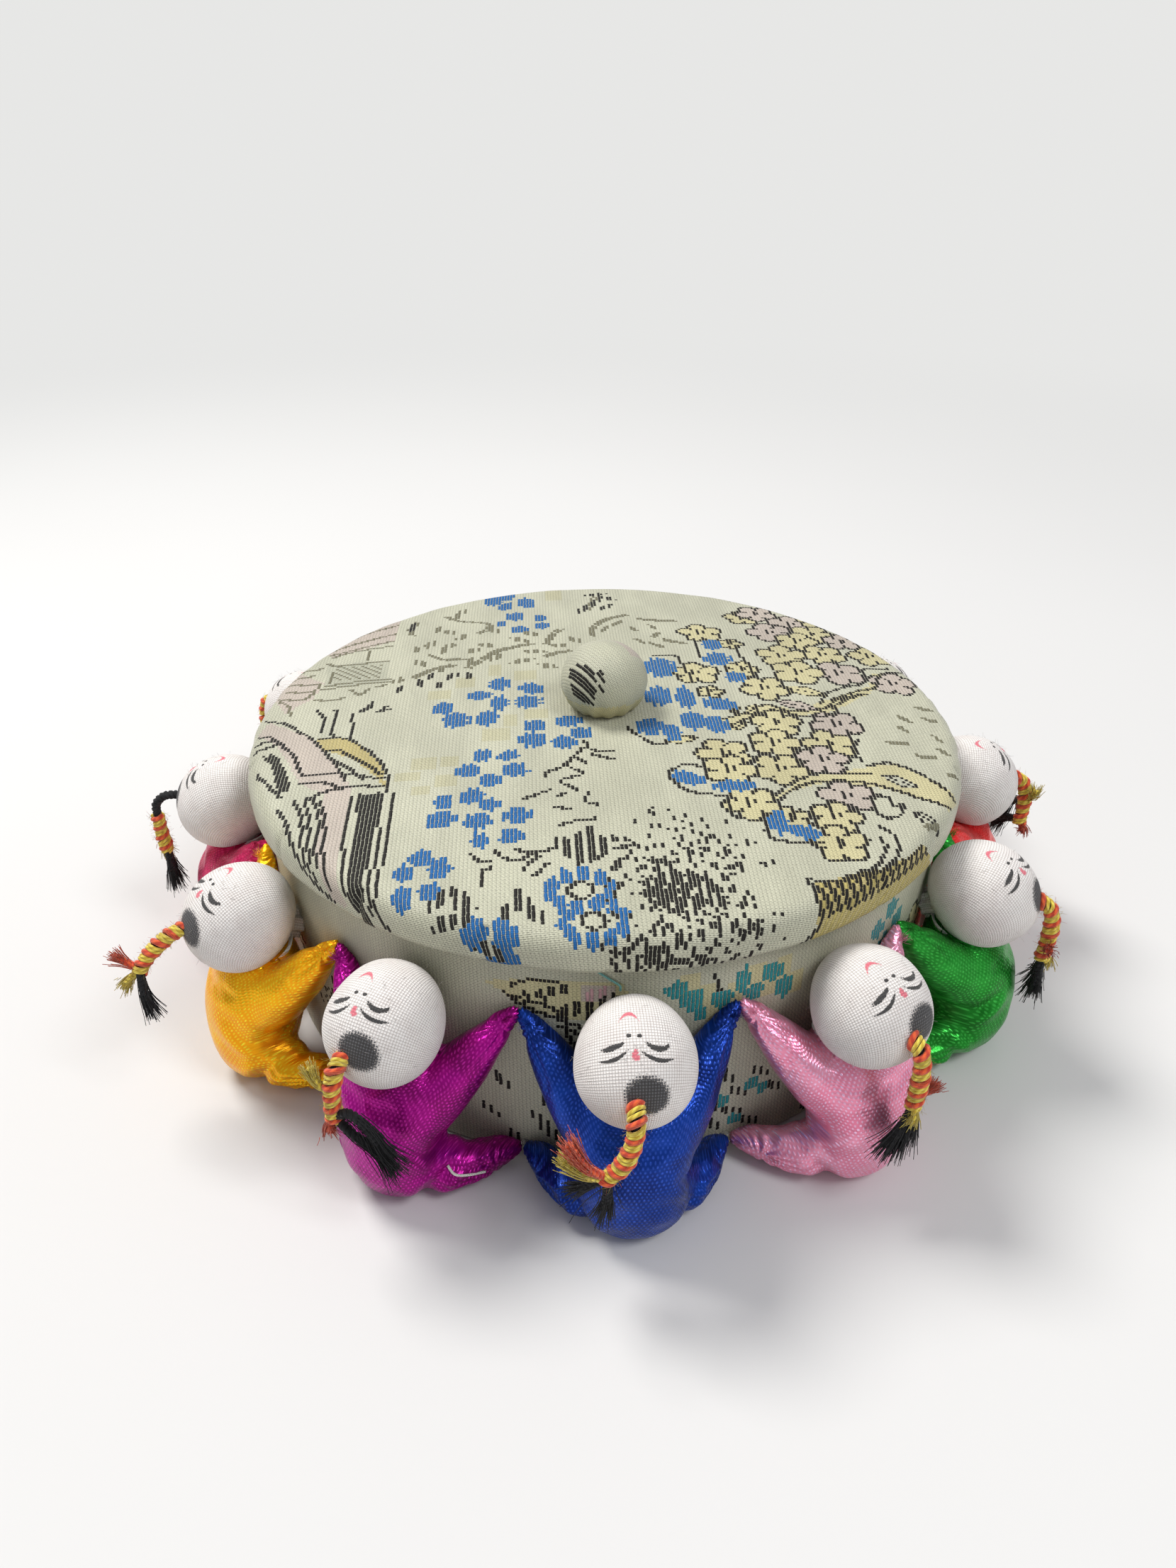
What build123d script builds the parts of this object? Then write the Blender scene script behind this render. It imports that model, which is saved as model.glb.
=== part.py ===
from build123d import *
import math
import os

# A round keepsake box: a card drum and a padded lift-off lid, both covered in brocade, with a ring
# of small stuffed dolls glued round the wall. Z is up, the box stands on z = 0 with its axis on Z,
# and doll_01 faces -Y.

# The drum, in millimetres.
wall_radius = 59.5
lid_overhang = 2.5
wall_height = 40.0
brocade_thickness = 0.4
wall_board_thickness = 2.0
base_board_thickness = 2.0
rim_turn_in = 7.0
foot_turn_under = 6.0
base_cover_margin = 1.0
lining_thickness = 0.9
lining_drop = 1.0
floor_clearance = 0.4
floor_board_thickness = 0.8
floor_pad_edge = 1.4
floor_pad_crown = 2.7

# The lid.
lid_board_thickness = 2.0
lid_lower_round = 1.0
lid_edge_round = 3.0
lid_edge_height = 6.0
lid_crown_height = 8.5
lid_turn_under = 9.0
plug_board_thickness = 2.2
plug_cloth_thickness = 0.4
plug_clearance = 1.0
plug_turn_over = 6.8

# The knob and the thread that ties it to the lid.
knob_width = 15.2
knob_height = 11.6
knob_widest_height = 4.8
knob_foot_width = 10.4
thread_radius = 0.5
thread_clearance = 0.1
thread_depth_in_knob = 6.0
knot_radius = 2.0
knot_height = 0.6

# The ring of dolls. Each doll is made facing -Y and turned to its place.
doll_count = 12
doll_seat_gap = 0.05
head_width = 16.8
head_length = 18.0
head_height = 30.7
head_wall_gap = 0.2
head_cloth_thickness = 0.3
head_tilt_degrees = 35.0

# The torso, from its foot up: height, distance from the wall, width and depth, as shares.
torso_foot_height = 0.6
torso_top_height = 26.0
torso_width = 15.6
torso_depth = 14.4
torso_distance = 9.2
satin_thickness = 0.4
torso_section_shares = [
    (0.0, 1.10, 0.54, 0.44),
    (0.09, 1.10, 0.79, 0.69),
    (0.29, 1.08, 0.97, 0.94),
    (0.53, 1.00, 1.00, 1.00),
    (0.76, 0.87, 0.97, 0.92),
    (0.92, 0.71, 0.83, 0.69),
    (1.0, 0.54, 0.83, 0.50),
]

# Arms and legs, from the torso to the wall: angle, distance, height and thickness, as shares.
# The last section touches the wall, so its distance is its own radius.
limb_reach_degrees = 13.3
arm_radius = 5.2
shoulder_height = 19.0
shoulder_distance = 7.2
hand_height = 30.2
arm_section_shares = [
    (0.27, 1.00, 0.00, 1.00),
    (0.56, 0.79, 0.42, 0.84),
    (0.82, 0.50, 0.75, 0.57),
    (1.0, 0.21, 1.0, 0.29),
]
leg_radius = 4.2
hip_height = 6.8
hip_distance = 8.6
foot_height = 2.7
leg_section_shares = [
    (0.25, 1.00, 0.00, 1.00),
    (0.55, 0.81, 0.59, 0.86),
    (0.80, 0.57, 0.85, 0.62),
    (1.0, 0.175, 1.0, 0.36),
]

# A drop of glue between two dolls holds their hands, and another their feet.
glue_radius = 2.4
glue_depth_in_wall = 0.6

# The queues: black yarn bound round with a yellow and a red strand, ending in a tassel.
queue_root_degrees = 8.0
queue_core_radius = 0.55
queue_root_length = 0.8
queue_bend_radius = 1.6
binding_radius = 0.45
binding_clearance = 0.03
binding_pitch = 2.1
tassel_length = 9.0
tassel_width = 3.6
tassel_depth = 2.4
tassel_section_shares = [(0.0, 0.36), (0.3, 0.62), (0.75, 1.0), (1.0, 0.86)]

# For each doll: lean to its left, lean away from the box, turns of binding, root length share.
queue_styles = [
    (-12, 4, 6, 1.0),
    (3, 5, 6, 1.0),
    (-8, 6, 5, 1.0),
    (4, 8, 5, 1.0),
    (-6, 5, 5, 1.0),
    (9, 6, 6, 1.0),
    (-4, 4, 5, 1.0),
    (7, 8, 5, 1.0),
    (-10, 5, 5, 1.0),
    (3, 12, 4, 5.0),
    (6, 62, 4, 1.0),
    (-9, 6, 5, 1.0),
]

# Sizes that follow from the ones above.
lid_radius = wall_radius + lid_overhang
lid_top = wall_height + lid_crown_height
lid_skin_underside = wall_height + brocade_thickness
lid_board_radius = lid_radius - lid_lower_round
lid_edge_centre = wall_height + lid_edge_height - lid_edge_round
wall_board_outer = wall_radius - brocade_thickness
wall_board_inner = wall_board_outer - wall_board_thickness
rim_cover_inner = wall_board_inner - brocade_thickness
lining_inner = rim_cover_inner - lining_thickness
base_underside = 2 * brocade_thickness
floor_level = base_underside + base_board_thickness
wall_board_top = wall_height - brocade_thickness
floor_radius = lining_inner - floor_clearance
plug_radius = lining_inner - plug_clearance
plug_board_top = wall_height - plug_cloth_thickness
thread_hole_radius = thread_radius + thread_clearance
doll_spacing_degrees = 360 / doll_count


def on_profile(x, z):
    return Vector(x, 0, z)


def profile_arc(x, z, radius, start_degrees, end_degrees):
    # An arc about (x, z) in the XZ plane, its angles counted from +X towards +Z.
    places = []
    for share in (0, 0.5, 1):
        turn = math.radians(start_degrees + share * (end_degrees - start_degrees))
        places.append(on_profile(x + radius * math.cos(turn), z + radius * math.sin(turn)))
    return Edge.make_three_point_arc(*places)


def turned(edges):
    # A solid of revolution about Z from the edges of a profile; a straight edge closes it.
    first = edges[0] @ 0
    last = edges[-1] @ 1
    if (last - first).length > 0:
        edges = edges + [Edge.make_line(last, first)]
    return Solid.revolve(Face(Wire(edges)), 360, Axis.Z)


def disc(radius, low, high, hole=0):
    solid = Pos(0, 0, low) * Cylinder(radius, high - low, align=(Align.CENTER, Align.CENTER, Align.MIN))
    if hole > 0:
        solid -= Pos(0, 0, low) * Cylinder(hole, high - low, align=(Align.CENTER, Align.CENTER, Align.MIN))
    return solid


def oval_angle(long_half, short_half):
    # The side arc's half angle in an oval of four tangent arcs.
    return math.degrees(math.atan2(long_half * (long_half + 2 * short_half),
                                   2 * short_half * (long_half + short_half)))


def oval_arcs(long_half, short_half):
    # Centre and radius of the side arc and of the top arc of such an oval.
    side_radius = short_half ** 2 / long_half
    top_radius = long_half * (long_half + short_half) / (2 * short_half)
    return long_half - side_radius, side_radius, short_half - top_radius, top_radius


def oval(plane, half_width, half_depth):
    # A closed oval of four tangent arcs on a plane.
    side_x, side_radius, top_y, top_radius = oval_arcs(half_width, half_depth)
    half_angle = oval_angle(half_width, half_depth)
    arcs = [
        (side_x, 0, side_radius, -half_angle, half_angle),
        (0, top_y, top_radius, half_angle, 180 - half_angle),
        (-side_x, 0, side_radius, 180 - half_angle, 180 + half_angle),
        (0, -top_y, top_radius, 180 + half_angle, 360 - half_angle),
    ]
    edges = []
    for x, y, radius, start, end in arcs:
        places = []
        for share in (0, 0.5, 1):
            turn = math.radians(start + share * (end - start))
            local = (x + radius * math.cos(turn), y + radius * math.sin(turn), 0)
            places.append(plane.from_local_coords(Vector(*local)))
        edges.append(Edge.make_three_point_arc(*places))
    return Wire(edges)


def around(distance, degrees, height):
    # A place at a distance from the box axis, counted round from -Y towards +X.
    turn = math.radians(degrees)
    return Vector(distance * math.sin(turn), -distance * math.cos(turn), height)


def ring_of(shape):
    # One copy of a shape for each doll.
    return [Rot(0, 0, index * doll_spacing_degrees) * shape for index in range(doll_count)]


def base_cover():
    return disc(wall_radius - base_cover_margin, 0, brocade_thickness)


def base_board():
    return disc(wall_board_inner, base_underside, floor_level)


def wall_board():
    return disc(wall_board_outer, base_underside, wall_board_top, wall_board_inner)


def wall_brocade():
    # The cloth goes up the outside, over the rim and down inside, and is turned under the foot.
    outside = disc(wall_radius, brocade_thickness, wall_height, rim_cover_inner)
    outside -= wall_board()
    outside -= disc(wall_board_inner, base_underside, wall_height - rim_turn_in)
    foot = disc(wall_radius, brocade_thickness, base_underside, wall_radius - foot_turn_under)
    return outside + foot


def wall_lining():
    return disc(rim_cover_inner, floor_level, wall_board_top - lining_drop, lining_inner)


def floor_board():
    return disc(floor_radius, floor_level, floor_level + floor_board_thickness)


def floor_pad():
    # A disc with a crowned top.
    low = floor_level + floor_board_thickness
    edge = low + floor_pad_edge
    crown = low + floor_pad_crown
    rise = floor_pad_crown - floor_pad_edge
    crown_radius = (floor_radius ** 2 + rise ** 2) / (2 * rise)
    edge_degrees = math.degrees(math.acos(floor_radius / crown_radius))
    return turned([
        Edge.make_line(on_profile(0, low), on_profile(floor_radius, low)),
        Edge.make_line(on_profile(floor_radius, low), on_profile(floor_radius, edge)),
        profile_arc(0, crown - crown_radius, crown_radius, edge_degrees, 90),
    ])


def lid_form(inset):
    # The padded lid's outer form, drawn in all round by an inset: rounded edge, low crown.
    rise = lid_crown_height - lid_edge_height + lid_edge_round
    run = lid_radius - lid_edge_round
    crown_radius = (run ** 2 + rise ** 2 - lid_edge_round ** 2) / (2 * (rise - lid_edge_round))
    crown_centre = lid_top - crown_radius
    meet_degrees = math.degrees(math.atan2(lid_edge_centre - crown_centre, run))
    low = wall_height + inset
    lower_x = lid_radius - lid_lower_round
    lower_z = wall_height + lid_lower_round
    side = lid_radius - inset
    return turned([
        Edge.make_line(on_profile(0, low), on_profile(lower_x, low)),
        profile_arc(lower_x, lower_z, lid_lower_round - inset, -90, 0),
        Edge.make_line(on_profile(side, lower_z), on_profile(side, lid_edge_centre)),
        profile_arc(run, lid_edge_centre, lid_edge_round - inset, 0, meet_degrees),
        profile_arc(0, crown_centre, crown_radius - inset, meet_degrees, 90),
    ])


def thread_hole(low, high):
    return disc(thread_hole_radius, low, high)


def lid_board():
    top = lid_skin_underside + lid_board_thickness
    return disc(lid_board_radius, lid_skin_underside, top, thread_hole_radius)


def lid_padding():
    return lid_form(brocade_thickness) - lid_board() - thread_hole(wall_height, lid_top)


def lid_brocade():
    opening = disc(lid_radius - lid_turn_under, wall_height, lid_skin_underside)
    return lid_form(0) - lid_form(brocade_thickness) - opening - thread_hole(wall_height, lid_top)


def plug_board():
    return disc(plug_radius - plug_cloth_thickness, plug_board_top - plug_board_thickness, plug_board_top)


def plug_lining():
    low = plug_board_top - plug_board_thickness - plug_cloth_thickness
    opening = disc(plug_radius - plug_turn_over, plug_board_top, wall_height)
    return disc(plug_radius, low, wall_height) - plug_board() - opening


def knob_form(inset):
    # A squashed ball: a four-arc oval over its widest line, one arc down to a flat foot.
    half_width = knob_width / 2
    upper_height = knob_height - knob_widest_height
    side_x, side_radius, top_z, top_radius = oval_arcs(half_width, upper_height)
    meet_degrees = oval_angle(half_width, upper_height)
    foot_step = half_width - knob_foot_width / 2
    lower_radius = (foot_step ** 2 + knob_widest_height ** 2) / (2 * foot_step)
    lower_x = half_width - lower_radius
    widest = lid_top + knob_widest_height
    foot_degrees = -math.degrees(math.asin((knob_widest_height - inset) / (lower_radius - inset)))
    foot_edge = profile_arc(lower_x, widest, lower_radius - inset, foot_degrees, 0)
    return turned([
        Edge.make_line(on_profile(0, lid_top + inset), foot_edge @ 0),
        foot_edge,
        profile_arc(side_x, widest, side_radius - inset, 0, meet_degrees),
        profile_arc(0, widest + top_z, top_radius - inset, meet_degrees, 90),
    ])


def knob_bead():
    return knob_form(brocade_thickness) - thread_hole(lid_top, lid_top + thread_depth_in_knob)


def knob_cover():
    return knob_form(0) - knob_form(brocade_thickness) - thread_hole(lid_top, lid_top + brocade_thickness)


def knob_thread():
    # The thread runs from its knot under the lid board up into the bead.
    knot = disc(knot_radius, lid_skin_underside - knot_height, lid_skin_underside)
    return knot + disc(thread_radius, lid_skin_underside, lid_top + thread_depth_in_knob)


def head_reach(degrees):
    # How far the head reaches from its centre along a line tilted up by an angle.
    turn = math.radians(degrees + head_tilt_degrees)
    return 1 / math.hypot(math.cos(turn) / (head_length / 2), math.sin(turn) / (head_width / 2))


def head_centre():
    tilt = math.radians(head_tilt_degrees)
    reach = math.hypot(head_length / 2 * math.cos(tilt), head_width / 2 * math.sin(tilt))
    return around(wall_radius + head_wall_gap + reach, 0, head_height)


def head_form(inset):
    # An egg turned about its long axis, which points out and down to the crown of the head.
    half_length = head_length / 2
    half_width = head_width / 2
    side_x, side_radius, top_y, top_radius = oval_arcs(half_length, half_width)
    meet_degrees = oval_angle(half_length, half_width)
    profile = [
        profile_arc(side_x, 0, side_radius - inset, 0, meet_degrees),
        profile_arc(0, top_y, top_radius - inset, meet_degrees, 180 - meet_degrees),
        profile_arc(-side_x, 0, side_radius - inset, 180 - meet_degrees, 180),
        Edge.make_line(on_profile(inset - half_length, 0), on_profile(half_length - inset, 0)),
    ]
    egg = Solid.revolve(Face(Wire(profile)), 360, Axis.X)
    tilt = math.radians(head_tilt_degrees)
    crown = Vector(0, -math.cos(tilt), -math.sin(tilt))
    return Location(Plane(origin=head_centre(), x_dir=crown, z_dir=(1, 0, 0))) * egg


def torso_form(inset):
    # A loft through ovals from the foot to the neck.
    sections = []
    last = len(torso_section_shares) - 1
    for index, (height, distance, width, depth) in enumerate(torso_section_shares):
        level = torso_foot_height + height * (torso_top_height - torso_foot_height)
        if index == 0:
            level += inset
        if index == last:
            level -= inset
        centre = around(wall_radius + distance * torso_distance, 0, level)
        plane = Plane(origin=centre, x_dir=(1, 0, 0), z_dir=(0, 0, 1))
        sections.append(oval(plane, width * torso_width / 2 - inset, depth * torso_depth / 2 - inset))
    return Solid.make_loft(sections)


def limb_form(side, shares, radius, start_distance, start_height, end_height):
    # A tapering tube from the torso round to the wall, on one side of the doll.
    places = []
    radii = []
    for turn, distance, height, thickness in shares:
        level = start_height + height * (end_height - start_height)
        degrees = side * turn * limb_reach_degrees
        places.append(around(wall_radius + distance * start_distance, degrees, level))
        radii.append(thickness * radius)
    sections = []
    for index, place in enumerate(places):
        before = places[max(index - 1, 0)]
        after = places[min(index + 1, len(places) - 1)]
        along = (after - before).normalized()
        level_line = Vector(0, 0, 1).cross(along).normalized()
        plane = Plane(origin=place, x_dir=level_line, z_dir=along)
        sections.append(oval(plane, radii[index], radii[index]))
    return Solid.make_loft(sections)


def glue_drop(height):
    # A drop on the wall, half way to the next doll.
    centre = around(wall_radius - glue_depth_in_wall, doll_spacing_degrees / 2, height)
    return Pos(*centre) * Sphere(glue_radius) - disc(wall_radius, 0, wall_height)


def doll_limbs(torso, head, drops):
    near_wall = disc(wall_radius + doll_seat_gap, 0, wall_height)
    limbs = []
    for side in (-1, 1):
        arm = limb_form(side, arm_section_shares, arm_radius, shoulder_distance, shoulder_height, hand_height)
        leg = limb_form(side, leg_section_shares, leg_radius, hip_distance, hip_height, foot_height)
        for limb in (arm, leg):
            cut = limb - torso - head - near_wall
            for drop in drops:
                cut = cut - drop
            limbs.append(max(cut.solids(), key=lambda solid: solid.volume))
    return limbs


def queue_line(lean_degrees, out_degrees, root_share):
    # The root leaves the head square to it, bends once and then hangs straight.
    root = math.radians(queue_root_degrees)
    leaving = Vector(0, -math.cos(root), math.sin(root))
    sideways = math.tan(math.radians(lean_degrees))
    outwards = math.tan(math.radians(out_degrees))
    hanging = Vector(sideways, -outwards, -1).normalized()
    start = head_centre() + leaving * (head_reach(queue_root_degrees) - queue_core_radius)
    bend_start = start + leaving * (queue_core_radius + root_share * queue_root_length)
    half_bend = math.radians(leaving.get_angle(hanging)) / 2
    bend_end = bend_start + (leaving + hanging) * (queue_bend_radius * math.tan(half_bend))
    return start, leaving, bend_start, hanging, bend_end


def queue_yarn(style, head):
    lean, out, turns, root_share = style
    start, leaving, bend_start, hanging, bend_end = queue_line(lean, out, root_share)
    bound_end = bend_end + hanging * (turns * binding_pitch + 2 * binding_radius)
    path = Wire([
        Edge.make_line(start, bend_start),
        Edge.make_tangent_arc(bend_start, leaving, bend_end),
        Edge.make_line(bend_end, bound_end),
    ])
    core = sweep(Plane(origin=start, z_dir=leaving) * Circle(queue_core_radius), path=path)
    across = (Vector(1, 0, 0) - hanging * hanging.X).normalized()
    sections = []
    for along, size in tassel_section_shares:
        plane = Plane(origin=bound_end + hanging * (along * tassel_length), x_dir=across, z_dir=hanging)
        sections.append(oval(plane, size * tassel_width / 2, size * tassel_depth / 2))
    return (core - head) + Solid.make_loft(sections)


def half_turn(start, start_way, end, end_way):
    # Two tangent arcs that leave one point along a way and reach another along its own way.
    chord = end - start
    both = start_way + end_way
    spread = 2 * (1 - start_way.dot(end_way))
    reach = (math.sqrt(chord.dot(both) ** 2 + spread * chord.dot(chord)) - chord.dot(both)) / spread
    joint = (start + start_way * reach + end - end_way * reach) * 0.5
    joint_way = ((end - end_way * reach) - (start + start_way * reach)).normalized()
    return [Edge.make_tangent_arc(start, start_way, joint), Edge.make_tangent_arc(joint, joint_way, end)]


def binding_path(style, phase_degrees):
    # A helix round the bound stretch of the queue, as two arcs for every half turn.
    lean, out, turns, root_share = style
    hanging, bend_end = queue_line(lean, out, root_share)[3:]
    radius = queue_core_radius + binding_radius + binding_clearance
    across = (Vector(1, 0, 0) - hanging * hanging.X).normalized()
    frame = Plane(origin=bend_end + hanging * binding_radius, x_dir=across, z_dir=hanging)
    climb = binding_pitch / (2 * math.pi)
    places = []
    ways = []
    for step in range(2 * turns):
        turn = step * math.pi
        angle = turn + math.radians(phase_degrees)
        local = Vector(radius * math.cos(angle), radius * math.sin(angle), climb * turn)
        places.append(frame.from_local_coords(local))
        way = frame.y_dir * (radius * math.cos(angle)) - frame.x_dir * (radius * math.sin(angle))
        ways.append((way + frame.z_dir * climb).normalized())
    edges = []
    for step in range(len(places) - 1):
        edges += half_turn(places[step], ways[step], places[step + 1], ways[step + 1])
    return Wire(edges), places[0], ways[0]


def binding(style, phase_degrees):
    path, start, way = binding_path(style, phase_degrees)
    return sweep(Plane(origin=start, z_dir=way) * Circle(binding_radius), path=path)


def binding_gap(style):
    # The least gap between a binding's turns, measured on points along its line.
    path = binding_path(style, 0)[0]
    steps = round(path.length / binding_radius)
    places = [path @ (step / steps) for step in range(steps + 1)]
    apart = round(math.pi * (queue_core_radius + binding_radius) / (path.length / steps))
    gaps = []
    for first in range(len(places)):
        for second in range(first + apart, len(places)):
            gaps.append((places[first] - places[second]).length - 2 * binding_radius)
    return min(gaps)


def save(name, shapes):
    solids = []
    for shape in shapes:
        solids += shape.solids()
    export_step(solids[0] if len(solids) == 1 else Compound(solids), f"parts/{name}.step")


for make in (base_cover, base_board, wall_board, wall_brocade, wall_lining, floor_board, floor_pad,
             lid_board, lid_padding, lid_brocade, plug_board, plug_lining, knob_bead, knob_cover,
             knob_thread):
    save(make.__name__, [make()])

head = head_form(0)
head_filling = head_form(head_cloth_thickness)
torso = torso_form(0) - head
torso_filling = torso_form(satin_thickness) - head_form(-satin_thickness)
drops = [glue_drop(hand_height), glue_drop(foot_height)]
near_drops = drops + [Rot(0, 0, -doll_spacing_degrees) * drop for drop in drops]
limbs = doll_limbs(torso_form(0), head, near_drops)
head_skin = head - head_filling
torso_skin = torso - torso_filling
head_skins = ring_of(head_skin)
torso_skins = ring_of(torso_skin)
limb_rings = [ring_of(limb) for limb in limbs]
for index in range(doll_count):
    name = f"doll_{index + 1:02d}"
    save(name + "_torso", [torso_skins[index]])
    save(name + "_head", [head_skins[index]])
    save(name + "_limbs", [limb_ring[index] for limb_ring in limb_rings])
save("head_fillings", ring_of(head_filling))
save("torso_fillings", ring_of(torso_filling))
save("glue_drops", ring_of(drops[0]) + ring_of(drops[1]))

yarns = []
yellow_bindings = []
red_bindings = []
for index in range(doll_count):
    style = queue_styles[index % len(queue_styles)]
    turn = Rot(0, 0, index * doll_spacing_degrees)
    yarns.append(turn * queue_yarn(style, head))
    yellow_bindings.append(turn * binding(style, 0))
    red_bindings.append(turn * binding(style, 180))
save("queue_yarns", yarns)
save("queue_bindings_yellow", yellow_bindings)
save("queue_bindings_red", red_bindings)

tightest = min(queue_bend_radius, queue_core_radius + binding_radius + binding_clearance)
print(f"least gap between turns of a binding {binding_gap(queue_styles[0]):.2f} mm")
print(f"tightest bend of a queue or binding {tightest:.2f} mm, binding strand radius {binding_radius:.2f} mm")
print(f"hands reach {limb_reach_degrees} degrees of {doll_spacing_degrees / 2}")
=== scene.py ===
import math
import bpy
import bmesh
import numpy as np
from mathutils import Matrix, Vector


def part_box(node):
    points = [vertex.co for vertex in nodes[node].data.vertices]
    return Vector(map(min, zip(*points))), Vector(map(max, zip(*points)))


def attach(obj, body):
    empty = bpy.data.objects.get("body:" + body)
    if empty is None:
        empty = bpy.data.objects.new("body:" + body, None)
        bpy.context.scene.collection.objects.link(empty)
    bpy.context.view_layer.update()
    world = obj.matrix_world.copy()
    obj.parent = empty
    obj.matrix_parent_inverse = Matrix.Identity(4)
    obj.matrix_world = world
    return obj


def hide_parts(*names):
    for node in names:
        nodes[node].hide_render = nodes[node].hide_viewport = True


# A round brocade box with a padded lift-off lid and twelve satin dolls glued round its wall.
# Lengths here are millimetres; buildMesh turns them into metres.

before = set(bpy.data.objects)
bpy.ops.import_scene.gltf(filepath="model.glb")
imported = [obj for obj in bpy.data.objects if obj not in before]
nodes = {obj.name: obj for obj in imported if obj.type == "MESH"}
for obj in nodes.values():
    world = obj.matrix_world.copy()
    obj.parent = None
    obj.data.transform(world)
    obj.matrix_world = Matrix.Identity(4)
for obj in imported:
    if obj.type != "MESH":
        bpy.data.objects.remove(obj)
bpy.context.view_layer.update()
mm = 0.001
dollCount = 12


def nodeBox(node):
    low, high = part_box(node)
    return np.array(low) / mm, np.array(high) / mm


wallLow, wallHigh = nodeBox("wall_brocade")
lidLow, lidHigh = nodeBox("lid_brocade")
knobLow, knobHigh = nodeBox("knob_cover")
headLow, headHigh = nodeBox("doll_01_head")
wallRadius = (wallHigh[0] - wallLow[0]) / 2
wallTop = wallHigh[2]
lidRadius = (lidHigh[0] - lidLow[0]) / 2
headCentre = (headLow + headHigh) / 2

# Meshes: grids, tubes and what reads or writes them


def gridQuads(rows, columns, wrapRows=False, wrapColumns=False):
    # quads of a rows x columns grid of points, counted row by row
    r = np.arange(rows if wrapRows else rows - 1)[:, None]
    c = np.arange(columns if wrapColumns else columns - 1)[None, :]
    up = (r + 1) % rows
    along = (c + 1) % columns
    corners = [r * columns + c, r * columns + along, up * columns + along, up * columns + c]
    return np.stack(np.broadcast_arrays(*corners), -1).reshape(-1, 4)


def closedRings(rings, sides):
    # quads of a stack of rings, and the fans that close its ends on the two points after them
    ids = np.arange(sides)
    turned = (ids + 1) % sides
    last = (rings - 1) * sides
    start = np.stack([turned, ids, np.full(sides, rings * sides)], 1)
    end = np.stack([last + ids, last + turned, np.full(sides, rings * sides + 1)], 1)
    return gridQuads(rings, sides, wrapColumns=True), np.concatenate([start, end])


def buildMesh(name, points, quads, tris=None, smooth=True):
    # points in millimetres; quads and tris index into them
    tris = np.zeros((0, 3), int) if tris is None else np.asarray(tris)
    mesh = bpy.data.meshes.new(name)
    mesh.vertices.add(len(points))
    mesh.vertices.foreach_set("co", (np.asarray(points, float) * mm).ravel())
    loops = np.concatenate([quads.ravel(), tris.ravel()]).astype(np.int32)
    mesh.loops.add(len(loops))
    mesh.loops.foreach_set("vertex_index", loops)
    starts = np.concatenate([np.arange(len(quads)) * 4, len(quads) * 4 + np.arange(len(tris)) * 3])
    mesh.polygons.add(len(starts))
    mesh.polygons.foreach_set("loop_start", starts.astype(np.int32))
    mesh.polygons.foreach_set("use_smooth", np.full(len(starts), smooth))
    mesh.update(calc_edges=True)
    thing = bpy.data.objects.new(name, mesh)
    bpy.context.scene.collection.objects.link(thing)
    return thing


def readPoints(mesh, key="co"):
    # a mesh's points or normals, one to a row
    values = np.zeros(len(mesh.vertices) * 3, np.float32)
    mesh.vertices.foreach_get(key, values)
    return values.reshape(-1, 3)


def readCorners(mesh):
    # the point at each corner of each face
    index = np.zeros(len(mesh.loops), np.int32)
    mesh.loops.foreach_get("vertex_index", index)
    return index


def setCornerUv(thing, name, perCorner):
    layer = thing.data.uv_layers.new(name=name)
    layer.data.foreach_set("uv", perCorner.astype(np.float32).ravel())


def setUv(thing, name, perPoint):
    setCornerUv(thing, name, perPoint[readCorners(thing.data)])


def setCornerColour(thing, name, perCorner):
    layer = thing.data.attributes.new(name, "FLOAT_COLOR", "CORNER")
    layer.data.foreach_set("color", perCorner.astype(np.float32).ravel())


def place(thing, body, material, slot, *replaced):
    # one material, the body the piece rides on, its slot (not used) and the CAD nodes it stands for
    thing.data.materials.clear()
    thing.data.materials.append(material)
    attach(thing, body)
    if replaced:
        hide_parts(*replaced)


def atDoll(points, index):
    # points of the first doll, turned about the box axis to another doll's place
    a = math.radians(index * 360 / dollCount)
    turn = np.array([[math.cos(a), -math.sin(a), 0], [math.sin(a), math.cos(a), 0], [0, 0, 1]])
    return np.asarray(points) @ turn.T


def polarPoints(radius, angle, height):
    return np.stack([radius * np.cos(angle), radius * np.sin(angle), height], 1)


def smoothNoise(points, waves, seed):
    # sum of a few sine waves in fixed random directions, about -1 to 1
    rng = np.random.default_rng(seed)
    total = np.zeros(points.shape[:-1])
    for wave in waves:
        for turn in range(3):
            direction = rng.normal(size=3)
            direction /= np.linalg.norm(direction)
            total += np.sin(points @ direction * (2 * math.pi / wave) + rng.uniform(0, 6.28)) / 3
    return total / len(waves)


def curveThrough(points, step=0.2):
    # Catmull-Rom curve through given points, sampled about every step
    p = np.array(points, float)
    ends = np.vstack([2 * p[0] - p[1], p, 2 * p[-1] - p[-2]])
    pieces = []
    for a, b, c, d in zip(ends, ends[1:], ends[2:], ends[3:]):
        count = max(2, int(np.linalg.norm(c - b) / step))
        t = np.linspace(0, 1, count, endpoint=False)[:, None]
        pieces.append(0.5 * (2 * b + (c - a) * t + (2 * a - 5 * b + 4 * c - d) * t ** 2
                             + (3 * b - a - 3 * c + d) * t ** 3))
    return np.vstack(pieces + [p[-1:]])


def lengthsAlong(line):
    # how far along a line each of its points lies
    return np.concatenate([[0], np.cumsum(np.linalg.norm(np.diff(line, axis=0), axis=1))])


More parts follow.
